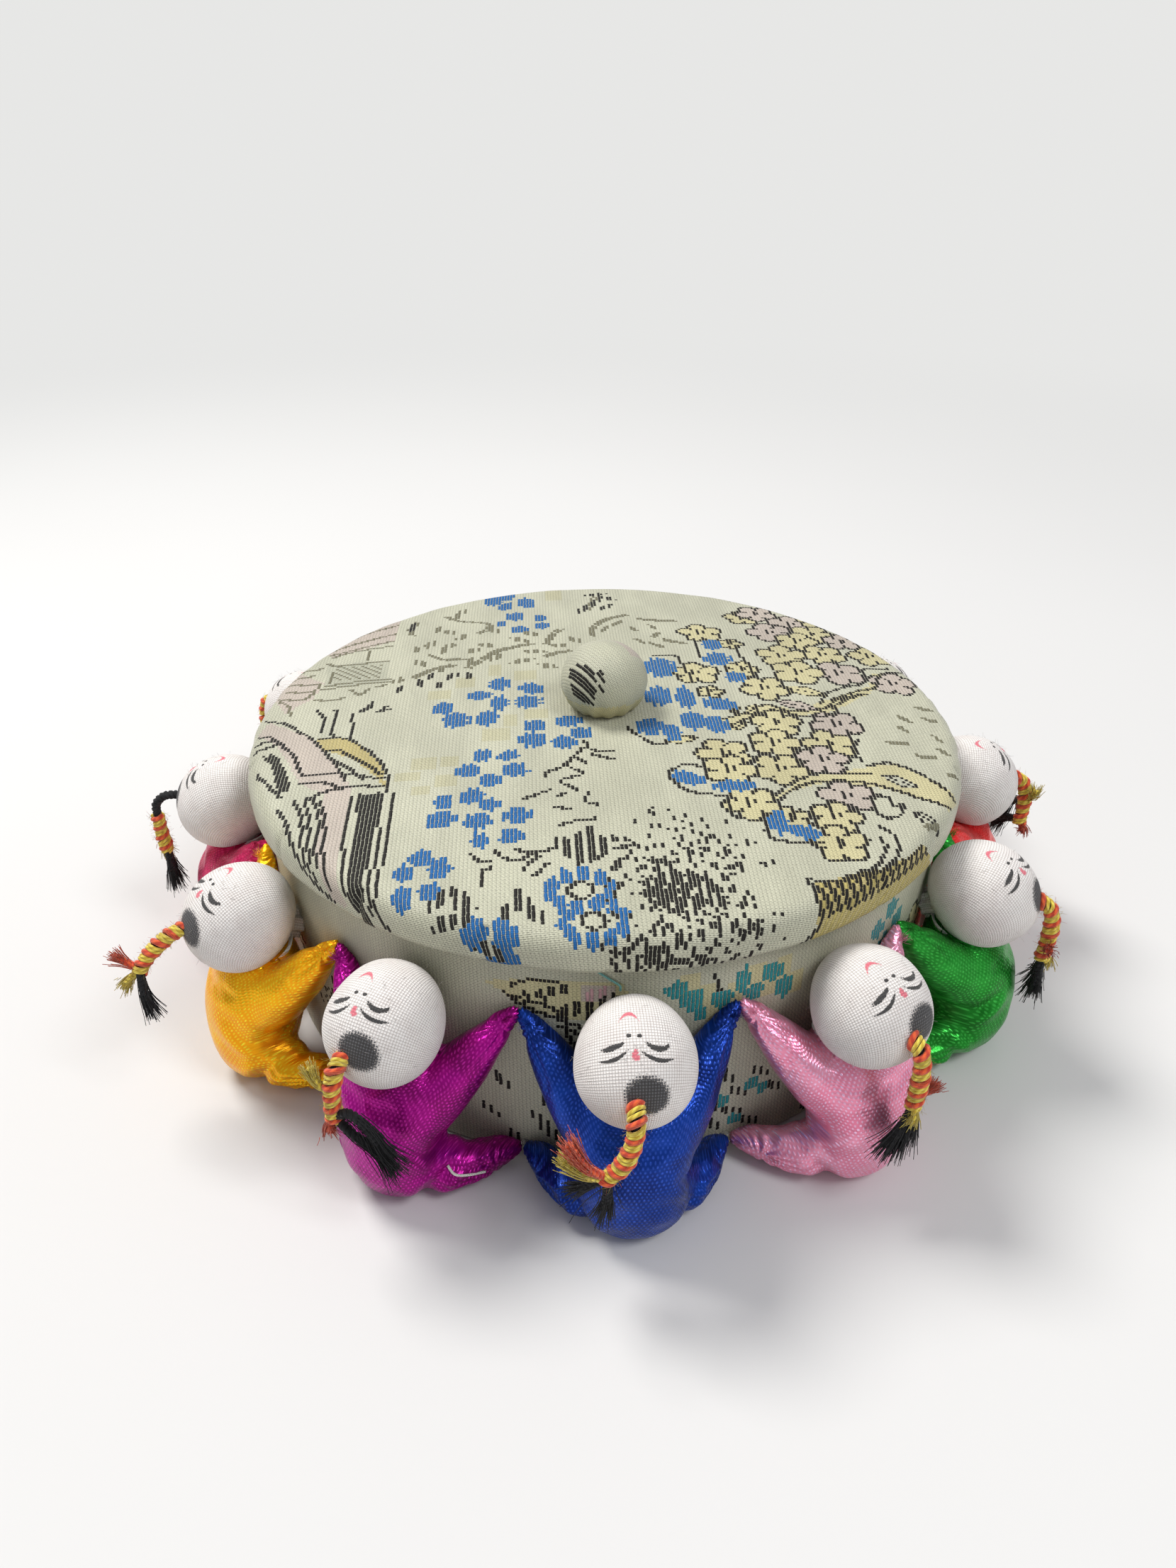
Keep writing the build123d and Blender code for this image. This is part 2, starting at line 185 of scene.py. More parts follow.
def frameAlong(line):
    # unit tangents and two steady cross directions along a line of points
    tangent = np.gradient(line, axis=0)
    tangent /= np.linalg.norm(tangent, axis=1)[:, None]
    across = np.zeros_like(line)
    side = np.cross(tangent[0], [0.3, 0.2, 0.9])
    for i, way in enumerate(tangent):
        side = side - way * (side @ way)
        side /= np.linalg.norm(side)
        across[i] = side
    return across, np.cross(tangent, across)


def tube(line, radius, sides):
    # circle of a radius carried along a line: points, quads, end fans, and uv as mm along and turns around
    line = np.asarray(line, float)
    radius = np.broadcast_to(radius, len(line))
    across, other = frameAlong(line)
    a = np.arange(sides) * 2 * math.pi / sides
    ring = np.cos(a)[None, :, None] * across[:, None] + np.sin(a)[None, :, None] * other[:, None]
    points = (line[:, None] + ring * radius[:, None, None]).reshape(-1, 3)
    reach = lengthsAlong(line)
    uv = np.stack([np.repeat(reach, sides), np.tile(a / (2 * math.pi), len(line))], 1)
    return (np.vstack([points, line[:1], line[-1:]]), *closedRings(len(line), sides),
            np.vstack([uv, [[0, 0], [reach[-1], 0]]]))


def joinParts(parts):
    # several (points, quads, tris, uv) as one
    points, quads, tris, uvs = [], [], [np.zeros((0, 3), int)], []
    offset = 0
    for p, q, t, uv in parts:
        points.append(p)
        quads.append(q + offset)
        if len(t):
            tris.append(t + offset)
        uvs.append(uv)
        offset += len(p)
    return np.vstack(points), np.concatenate(quads), np.concatenate(tris), np.vstack(uvs)


# Materials


def feed(socket, value):
    # a number, a colour or what another node gives out, into a socket
    if isinstance(value, Value):
        socket.id_data.links.new(value.socket, socket)
    elif value is not None:
        socket.default_value = (*value, 1) if isinstance(value, tuple) else value


def calc(tree, operation, *values):
    node = tree.nodes.new("ShaderNodeMath")
    node.operation = operation
    for socket, value in zip(node.inputs, values):
        feed(socket, value)
    return Value(node.outputs[0])


class Value:
    # what a shader node gives out, so that a formula of values reads as a formula

    def __init__(self, socket):
        self.socket = socket

    def calc(self, operation, *others):
        return calc(self.socket.id_data, operation, self, *others)

    def __add__(self, other):
        return self.calc("ADD", other)

    def __sub__(self, other):
        return self.calc("SUBTRACT", other)

    def __rsub__(self, other):
        return calc(self.socket.id_data, "SUBTRACT", other, self)

    def __mul__(self, other):
        return self.calc("MULTIPLY", other)

    def __truediv__(self, other):
        return self.calc("DIVIDE", other)

    def __pow__(self, other):
        return self.calc("POWER", other)

    def __abs__(self):
        return self.calc("ABSOLUTE")

    def floor(self):
        return self.calc("FLOOR")

    def sine(self):
        return self.calc("SINE")

    def scaled(self, factor, added):
        return self.calc("MULTIPLY_ADD", factor, added)

    def zigzag(self):
        # straight up and down: 1 at whole numbers and 0 midway
        return abs(self.calc("FRACT").scaled(2, -1))

    def ridges(self):
        # round humps: 0 at whole numbers and 1 midway
        return abs((self * math.pi).sine())

    def clamped(self):
        self.socket.node.use_clamp = True
        return self

    def ramp(self, low, high, outLow=0.0, outHigh=1.0):
        node = self.socket.id_data.nodes.new("ShaderNodeMapRange")
        node.interpolation_type = "SMOOTHSTEP"
        for socket, value in zip(node.inputs, (self, low, high, outLow, outHigh)):
            feed(socket, value)
        return Value(node.outputs[0])


class Bench:
    # a material with short calls for its nodes

    def __init__(self, name):
        self.material = bpy.data.materials.new(name)
        self.material.use_nodes = True
        self.tree = self.material.node_tree
        self.shader = self.tree.nodes["Principled BSDF"]

    def node(self, kind, **values):
        # a new node, with the inputs that are named
        node = self.tree.nodes.new("ShaderNode" + kind)
        for name, value in values.items():
            feed(node.inputs[name], value)
        return node

    def mix(self, factor, a, b, blend="MIX"):
        node = self.node("Mix")
        node.data_type = "RGBA"
        node.blend_type = blend
        for socket, value in ((0, factor), (6, a), (7, b)):
            feed(node.inputs[socket], value)
        return Value(node.outputs[2])

    def shaded(self, colour, shade):
        return self.mix(1.0, colour, self.join(shade, shade, shade), "MULTIPLY")

    def coords(self):
        return Value(self.node("TexCoord").outputs["Object"])

    def uv(self, name):
        node = self.node("UVMap")
        node.uv_map = name
        return self.split(Value(node.outputs[0]))[:2]

    def split(self, vector):
        return [Value(part) for part in self.node("SeparateXYZ", Vector=vector).outputs]

    def join(self, x, y, z=0.0):
        return Value(self.node("CombineXYZ", X=x, Y=y, Z=z).outputs[0])

    def attribute(self, name):
        # an attribute's colour and alpha
        node = self.node("Attribute")
        node.attribute_name = name
        return Value(node.outputs["Color"]), Value(node.outputs["Alpha"])

    def noise(self, vector, scale, detail=3.0, roughness=0.55):
        node = self.node("TexNoise", Vector=vector, Scale=scale, Detail=detail, Roughness=roughness)
        return Value(node.outputs["Fac"])

    def bump(self, height, distance, strength=1.0):
        node = self.node("Bump", Distance=distance * mm, Strength=strength, Height=height)
        feed(self.shader.inputs["Normal"], Value(node.outputs[0]))

    def finish(self, colour=None, roughness=None, **fixed):
        feed(self.shader.inputs["Base Color"], colour)
        feed(self.shader.inputs["Roughness"], roughness)
        for name, value in fixed.items():
            self.shader.inputs[name.replace("_", " ")].default_value = value
        return self.material


weave = dict(
    cell=0.6, floatWidth=0.90, floatEnd=0.42, groundShade=0.86,
    # colours of the ground and of the figures' threads, by their numbers on a canvas
    ground=[
        (0.535, 0.53, 0.405), (0.59, 0.54, 0.31), (0.53, 0.46, 0.39), (0.50, 0.42, 0.18),
        (0.50, 0.48, 0.32), (0.47, 0.47, 0.36)],
    thread=[
        (0, 0, 0), (0.012, 0.010, 0.008), (0.010, 0.115, 0.34), (0.17, 0.16, 0.10), (0.025, 0.25, 0.27),
        (0.58, 0.34, 0.36), (0.46, 0.38, 0.13)],
)
# the figures' threads, in the order of the list above
black, blue, olive, teal, rose, gold = range(1, 7)


def brocadeMaterial():
    # ribbed ground with coloured floats; each float is a rounded dash inside its column of cells
    b = Bench("brocade")
    u, v = b.uv("cells")
    ground, _ = b.attribute("ground")
    figure, covered = b.attribute("figure")
    ties = b.node("SeparateColor", Color=b.attribute("ties")[0])
    joinsAbove, joinsBelow = Value(ties.outputs[0]), Value(ties.outputs[1])
    sway = b.noise(b.join(u * 0.5, v * 0.8), 0.6, 2)
    side = (u + (sway - 0.5) * 0.5).zigzag()
    narrow = side / weave["floatWidth"]
    pick = v.calc("FRACT")
    end = ((pick + joinsBelow).calc("MINIMUM", 1 - pick + joinsAbove) / weave["floatEnd"]).clamped()
    reach = narrow ** 4 + (1 - end) ** 3
    dash = reach.ramp(0.95, 0.65) * covered
    bulge = (1 - narrow * narrow).clamped()
    # the ground: ribs up the cloth, two wefts to a cell, and small gaps between the threads
    ribs = u.ridges()
    row = v * 2.0
    weft = row.ridges()
    stagger = u + (row + 0.5).floor() * 0.382
    gapShade = weft.ramp(0.42, 0.12) * stagger.zigzag().ramp(0.70, 0.46)
    patchy = b.noise(b.join(u, v * 0.35), 0.09, 3)
    fleck = b.noise(b.join(u, v * 3), 1.1, 2)
    # painted shade: darker in the valleys between ribs and wefts and in the gaps between threads; patchy and
    # fleck are random tone
    shade = ribs.ramp(0.0, 0.7, 0.80, 1.04) * weft.ramp(0.0, 0.5, 0.84, 1.03)
    shade = shade * patchy.ramp(0.3, 0.7, 0.90, 1.05)
    shade = shade * fleck.ramp(0.25, 0.75, 0.86, 1.10)
    shade = shade * gapShade.scaled(-weave["groundShade"], 1)
    # painted shade: each float is darker towards its sides and lighter along its crown
    colour = b.mix(dash, b.shaded(ground, shade), b.shaded(figure, bulge.scaled(0.5, 0.6)))
    b.bump(ribs * 0.35 + weft * 0.35 + dash * (bulge * 0.8), 0.10)
    return b.finish(colour, weft.ramp(0.1, 0.9, 0.54, 0.30) + dash * 0.20, Specular_IOR_Level=0.25)


def clothMaterial(name, colour, pitch, sheen, rough):
    # plain cloth on Object coordinates: two crossing sets of fine threads
    b = Bench(name)
    x, y, z = b.split(b.coords())
    k = math.pi / (pitch * mm)
    threads = ((x + y) * k).sine() * ((z + (x - y)) * k).sine()
    worn = b.noise(b.coords(), 60, 4)
    dark = tuple(c * 0.72 for c in colour)
    b.bump(threads, 0.05, 0.7)
    # painted shade: darker where the threads' relief is low, with random tone from worn
    return b.finish(b.mix((threads * 0.25 + worn).ramp(0.25, 0.75), dark, colour),
                    worn.ramp(0.3, 0.7, rough + 0.08, rough - 0.06), Sheen_Weight=sheen)


def cardMaterial():
    # pressed fibres
    b = Bench("greyCard")
    fibres = b.noise(b.coords(), 900, 5, 0.7)
    b.bump(fibres, 0.05, 0.5)
    return b.finish(b.mix(fibres, (0.42, 0.36, 0.27), (0.60, 0.54, 0.43)), 0.88)


def woodMaterial():
    # grain drawn out along z
    b = Bench("beadWood")
    x, y, z = b.split(b.coords())
    grain = b.noise(b.join(x * 9, y * 9, z), 120, 4)
    return b.finish(b.mix(grain, (0.40, 0.25, 0.13), (0.66, 0.48, 0.30)), 0.6)


def glueMaterial():
    # cloudy, and see-through for the most part
    b = Bench("hotGlue")
    cloud = b.noise(b.coords(), 500, 2)
    b.bump(cloud, 0.2, 0.4)
    return b.finish(b.mix(cloud, (0.80, 0.79, 0.72), (0.92, 0.91, 0.86)), 0.22, Transmission_Weight=0.80)


def strokeGroup():
    # one painted stroke: 1 at the middle of a thin bent ellipse, 0 on its edge and less outside it
    group = bpy.data.node_groups.new("paintStroke", "ShaderNodeTree")
    names = ("U", "V", "CentreU", "CentreV", "Cosine", "Sine", "Length", "Width", "Bend")
    for name in names:
        group.interface.new_socket(name, in_out="INPUT", socket_type="NodeSocketFloat")
    group.interface.new_socket("Mask", in_out="OUTPUT", socket_type="NodeSocketFloat")
    given = group.nodes.new("NodeGroupInput").outputs
    u, v, centreU, centreV, cosine, sine, length, width, bend = (Value(given[name]) for name in names)
    u, v = u - centreU, v - centreV
    along = u * cosine + v * sine
    across = v * cosine - u * sine - bend * (along * along)
    a = along / length
    c = across / width
    feed(group.nodes.new("NodeGroupOutput").inputs[0], 1.0 - a * a - c * c)
    return group


headPaint = dict(
    # centre u, centre v, turn in degrees, half length, half width, bend; v grows towards the chin
    black=[
        (-1.55, 1.70, 0, 0.36, 0.27, 0.0), (-0.08, 1.64, 0, 0.36, 0.27, 0.0),
        (-3.85, 0.12, 13, 1.60, 0.42, 0.06), (2.35, -0.05, -6, 1.70, 0.42, 0.20),
        (-2.6, 0.50, 40, 0.55, 0.26, 0.0), (3.65, 0.30, 45, 0.55, 0.26, 0.0),
        (-3.65, -1.50, 16, 2.15, 0.29, 0.13), (2.25, -1.52, -10, 2.25, 0.29, 0.13)],
    pink=[
        (-1.5, 5.2, 0, 1.45, 0.36, -0.62), (-0.75, -0.85, 75, 0.75, 0.40, 0.0),
        (-0.55, -1.3, 10, 0.5, 0.40, 0.0)],
    hair=[(1.0, -6.3, -12, 3.4, 2.85, 0.0)],
    threadPitch=0.43,
)


def headMaterial():
    # plain weave of white cotton with soft painted strokes that catch on the threads
    b = Bench("headCotton")
    u, v = b.uv("cloth")
    faceU, faceV = b.uv("face")
    tu = u / headPaint["threadPitch"]
    tv = v / headPaint["threadPitch"]
    odd = abs(tu.floor() + tv.floor()).calc("MODULO", 2)
    su, sv = tu.ridges(), tv.ridges()
    over = odd * (su * sv ** 0.5) + (1 - odd) * (sv * su ** 0.5)
    slub = b.noise(b.join(u * 0.4, v), 2.0, 3)
    thread = over + (slub - 0.5) * 0.35
    group = strokeGroup()

    def strokes(colour):
        total = None
        for cu, cv, turn, *sizes in headPaint[colour]:
            node = b.node("Group")
            node.node_tree = group
            turned = (math.cos(math.radians(turn)), math.sin(math.radians(turn)))
            for socket, value in zip(node.inputs, (faceU, faceV, cu, cv, *turned, *sizes)):
                feed(socket, value)
            mask = Value(node.outputs[0])
            total = mask if total is None else total.calc("MAXIMUM", mask)
        return total

    grit = (thread - 0.45) * 0.8
    fleck = b.noise(b.join(faceU, faceV), 3.2, 4, 0.7)
    blackPaint = (strokes("black") + grit).ramp(-0.05, 0.2)
    pinkPaint = (strokes("pink") + grit).ramp(0.0, 0.4)
    hairPaint = (strokes("hair") + ((fleck - 0.5) * 1.1 + grit * 0.6)).ramp(0.05, 0.2)
    soil = b.noise(b.join(u, v), 0.25, 3)
    white = b.mix(soil.ramp(0.35, 0.75), (0.90, 0.865, 0.835), (0.83, 0.78, 0.75))
    # painted shade: the cotton is darker between the threads, where the weave is low
    between = b.mix(1.0, white, (0.62, 0.585, 0.565), "MULTIPLY")
    cotton = b.mix(thread.ramp(0.02, 0.6), between, white)
    tint = b.mix(pinkPaint * 0.85, cotton, (0.74, 0.09, 0.15))
    charcoal = b.mix(thread.ramp(0.5, 1.1), (0.008, 0.008, 0.010), (0.09, 0.09, 0.10))
    tint = b.mix(hairPaint * 0.95, tint, charcoal)
    tint = b.mix(blackPaint * 0.95, tint, (0.012, 0.012, 0.013))
    b.bump(thread, 0.09, 0.9)
    return b.finish(tint, 0.85, Sheen_Weight=0.1, Sheen_Roughness=0.6)


satinWeave = dict(rowPitch=0.60, dotPitch=0.68, stagger=0.47, metallic=0.66, roughness=0.32)


def satinMaterial(name, colour, deep):
    # long glossy floats with small rows of tie dots painted lighter, some with a painted glint; deep is a
    # deeper colour in soft random patches
    b = Bench("satin" + name)
    u, v = b.uv("cloth")
    drift = (b.noise(b.join(u, v), 0.35, 2) - 0.5) * 0.8
    row = (v + drift) / satinWeave["rowPitch"]
    step = (u + drift) / satinWeave["dotPitch"] + row.floor() * satinWeave["stagger"]
    du, dv = step.zigzag(), row.zigzag()
    dot = (du * du * 2.2 + dv * dv).ramp(0.80, 0.1)
    uneven = b.noise(b.join(step.floor(), row.floor()), 0.73, 1)
    glint = dot * uneven.ramp(0.45, 0.72)
    pulled = b.noise(b.join(u * 0.6, v * 2.6), 0.9, 3)
    cloud = b.noise(b.coords(), 160, 3)
    base = b.mix(cloud.ramp(0.3, 0.75), deep, colour)
    light = tuple(min(1.0, c * 1.7 + 0.03) for c in colour)
    wale = (row * (2 * math.pi)).sine()
    b.bump(dot + wale * 0.35 + pulled * 0.5, 0.04, 0.6)
    # painted highlights: the tie dots are lighter and the glinting ones lighter still; the glinting ones are
    # also less rough
    return b.finish(b.mix(dot * 0.48 + glint * 0.42, base, light),
                    glint.scaled(-0.10, satinWeave["roughness"]),
                    Metallic=satinWeave["metallic"], Specular_IOR_Level=0.3)


def yarnMaterial(name, colour, deep, rough=0.85, sheen=0.3):
    # two plies: slanting grooves along the yarn, with loose fibres
    b = Bench("yarn" + name)
    along, around = b.uv("yarn")
    ply = ((along * 0.9 + around * 2) * (2 * math.pi)).sine()
    fibre = b.noise(b.join(along * 2.0, around * 12), 1.6, 4, 0.7)
    depth = ply.scaled(0.3, fibre)
    b.bump(depth, 0.12, 0.9)
    # painted shade: the colour goes to the deep one in the grooves between the plies, with random fibre tone
    return b.finish(b.mix(depth.ramp(0.2, 0.8), deep, colour), rough, Sheen_Weight=sheen)


brocade = brocadeMaterial()
liningCloth = clothMaterial("liningCloth", (0.50, 0.04, 0.05), 0.30, 0.12, 0.50)
baseCloth = clothMaterial("baseCloth", (0.50, 0.04, 0.05), 0.30, 0.12, 0.55)
wadding = clothMaterial("wadding", (0.86, 0.85, 0.82), 0.9, 0.4, 0.9)
threadCloth = clothMaterial("sewingThread", (0.80, 0.78, 0.70), 0.25, 0.3, 0.7)
edgeThread = clothMaterial("edgeThread", (0.20, 0.50, 0.46), 0.25, 0.2, 0.6)
card = cardMaterial()
beadWood = woodMaterial()
hotGlue = glueMaterial()
headCotton = headMaterial()
yellowYarn = yarnMaterial("Yellow", (0.90, 0.74, 0.10), (0.62, 0.42, 0.03))
redYarn = yarnMaterial("Red", (0.86, 0.13, 0.03), (0.55, 0.04, 0.015))
blackYarn = yarnMaterial("Black", (0.012, 0.012, 0.014), (0.003, 0.003, 0.004), 0.8, 0.04)
print("materials made")

for node, material in dict(
        base_cover=baseCloth, base_board=card, wall_board=card, wall_lining=liningCloth, floor_board=card,
        lid_board=card, lid_padding=wadding, plug_board=card, plug_lining=liningCloth, knob_bead=beadWood,
        knob_thread=threadCloth, head_fillings=wadding, torso_fillings=wadding, glue_drops=hotGlue).items():
    nodes[node].data.materials.clear()
    nodes[node].data.materials.append(material)

# Brocade patterns: figures and ground colours on a grid of weave cells


class Canvas:
    # weave cells over a width and height in mm, with the origin at their middle

    def __init__(self, width, height, wrap=False):
        self.cell = weave["cell"]
        self.columns = int(round(width / self.cell))
        self.rows = int(round(height / self.cell))
        self.wrap = wrap
        x = (np.arange(self.columns) + 0.5 - self.columns / 2) * self.cell
        y = (np.arange(self.rows) + 0.5 - self.rows / 2) * self.cell
        self.gx, self.gy = np.meshgrid(x, y)
        self.figure = np.zeros((self.rows, self.columns), int)
        self.ground = np.zeros((self.rows, self.columns), int)
        self.column = np.arange(self.columns)[None, :]
        self.row = np.arange(self.rows)[:, None]

    def line(self, points, colour=black):
        dots = curveThrough(points)
        column = np.floor(dots[:, 0] / self.cell + self.columns / 2).astype(int)
        row = np.floor(dots[:, 1] / self.cell + self.rows / 2).astype(int)
        if self.wrap:
            column %= self.columns
        keep = (column >= 0) & (column < self.columns) & (row >= 0) & (row < self.rows)
        self.figure[row[keep], column[keep]] = colour

    def local(self, x, y, turn=0):
        # coordinates about a place, turned
        dx = self.gx - x
        if self.wrap:
            width = self.columns * self.cell
            dx = (dx + width / 2) % width - width / 2
        dy = self.gy - y
        c, s = math.cos(math.radians(turn)), math.sin(math.radians(turn))
        return dx * c + dy * s, dy * c - dx * s

    def area(self, points, ground, colour=None):
        # the cells inside a closed outline, by counting crossings
        p = np.array(points, float)
        inside = np.zeros(self.gx.shape, bool)
        for (x0, y0), (x1, y1) in zip(p, np.roll(p, -1, axis=0)):
            spans = (y0 > self.gy) != (y1 > self.gy)
            inside ^= spans & (self.gx < (x1 - x0) * (self.gy - y0) / (y1 - y0 + 1e-9) + x0)
        self.ground[inside] = ground
        if colour is not None:
            self.figure[inside] = colour

    def leaf(self, x, y, turn, length, width, colour=black, ground=None, hatch=0):
        # pointed leaf: |across| < width (1 - t^2), drawn as an outline or filled in columns
        along, across = self.local(x, y, turn)
        t = along / length
        edge = width * (1 - t ** 2)
        inside = (np.abs(t) < 1) & (np.abs(across) < edge)
        rim = (edge - np.abs(across) < self.cell * 0.8) | (np.abs(across) < self.cell * 0.35)
        if ground is not None:
            self.ground[inside] = ground
        self.figure[inside & (self.column % hatch != 0 if hatch else rim)] = colour

    def hatched(self, *leaves, colour=black, width=None, hatch=3):
        # leaves filled in columns; a width is given once where it is the same for all
        for x, y, turn, length, *own in leaves:
            self.leaf(x, y, turn, length, own[0] if own else width, colour, None, hatch)

    def petal(self, x, y, halfWidth, halfHeight, turn=0, colour=blue):
        # an oval whose columns end at uneven heights
        along, across = self.local(x, y, turn)
        uneven = 0.26 * np.sin(self.column * 2.7 + x) + 0.12 * np.sin(self.row * 1.9 + y)
        self.figure[(along / halfWidth) ** 2 + (across / halfHeight) ** 2 < 1.0 + uneven] = colour

    def ghost(self, x, y, halfWidth, halfHeight, ground=4):
        # a faint patch of ground
        along, across = self.local(x, y)
        self.ground[np.maximum(np.abs(along) / halfWidth, np.abs(across) / halfHeight) < 1] = ground

    def blossom(self, x, y, radius, turn=0, ground=1):
        # five rounded petals, cleared and filled, with an outline that dips between them
        def edge(angle):
            return radius * (0.70 + 0.34 * np.abs(np.cos(2.5 * (angle - math.radians(turn)))) ** 0.7)

        along, across = self.local(x, y)
        inside = np.hypot(along, across) < edge(np.arctan2(across, along))
        self.ground[inside] = ground
        self.figure[inside] = 0
        theta = np.linspace(0, 2 * math.pi, 120)
        rim = np.stack([x + edge(theta) * np.cos(theta), y + edge(theta) * np.sin(theta)], 1)
        self.line(rim[::2])
        for k in range(3):
            dotX = x + 0.16 * radius * math.cos(2.1 * k)
            dotY = y + 0.16 * radius * math.sin(2.1 * k)
            self.line([(dotX, dotY), (dotX, dotY + 0.7)])
        for k in range(5):
            a = math.radians(turn + 36 + 72 * k)
            spoke = [(x + radius * far * math.cos(a), y + radius * far * math.sin(a)) for far in (0.55, 0.72)]
            self.line(spoke)

    def spray(self, x, y, radius, chance, colour=black, seed=1, upper=1.0):
        # scattered dashes, thinning outwards; upper squeezes them in height
        rng = np.random.default_rng(seed)
        far = np.hypot(self.gx - x, (self.gy - y) / upper) / radius
        hit = rng.random(far.shape) < chance * np.clip(1 - far, 0, 1)
        self.figure[hit] = colour
        longer = hit[:-1] & (rng.random(hit[:-1].shape) < 0.6)
        self.figure[1:][longer] = colour


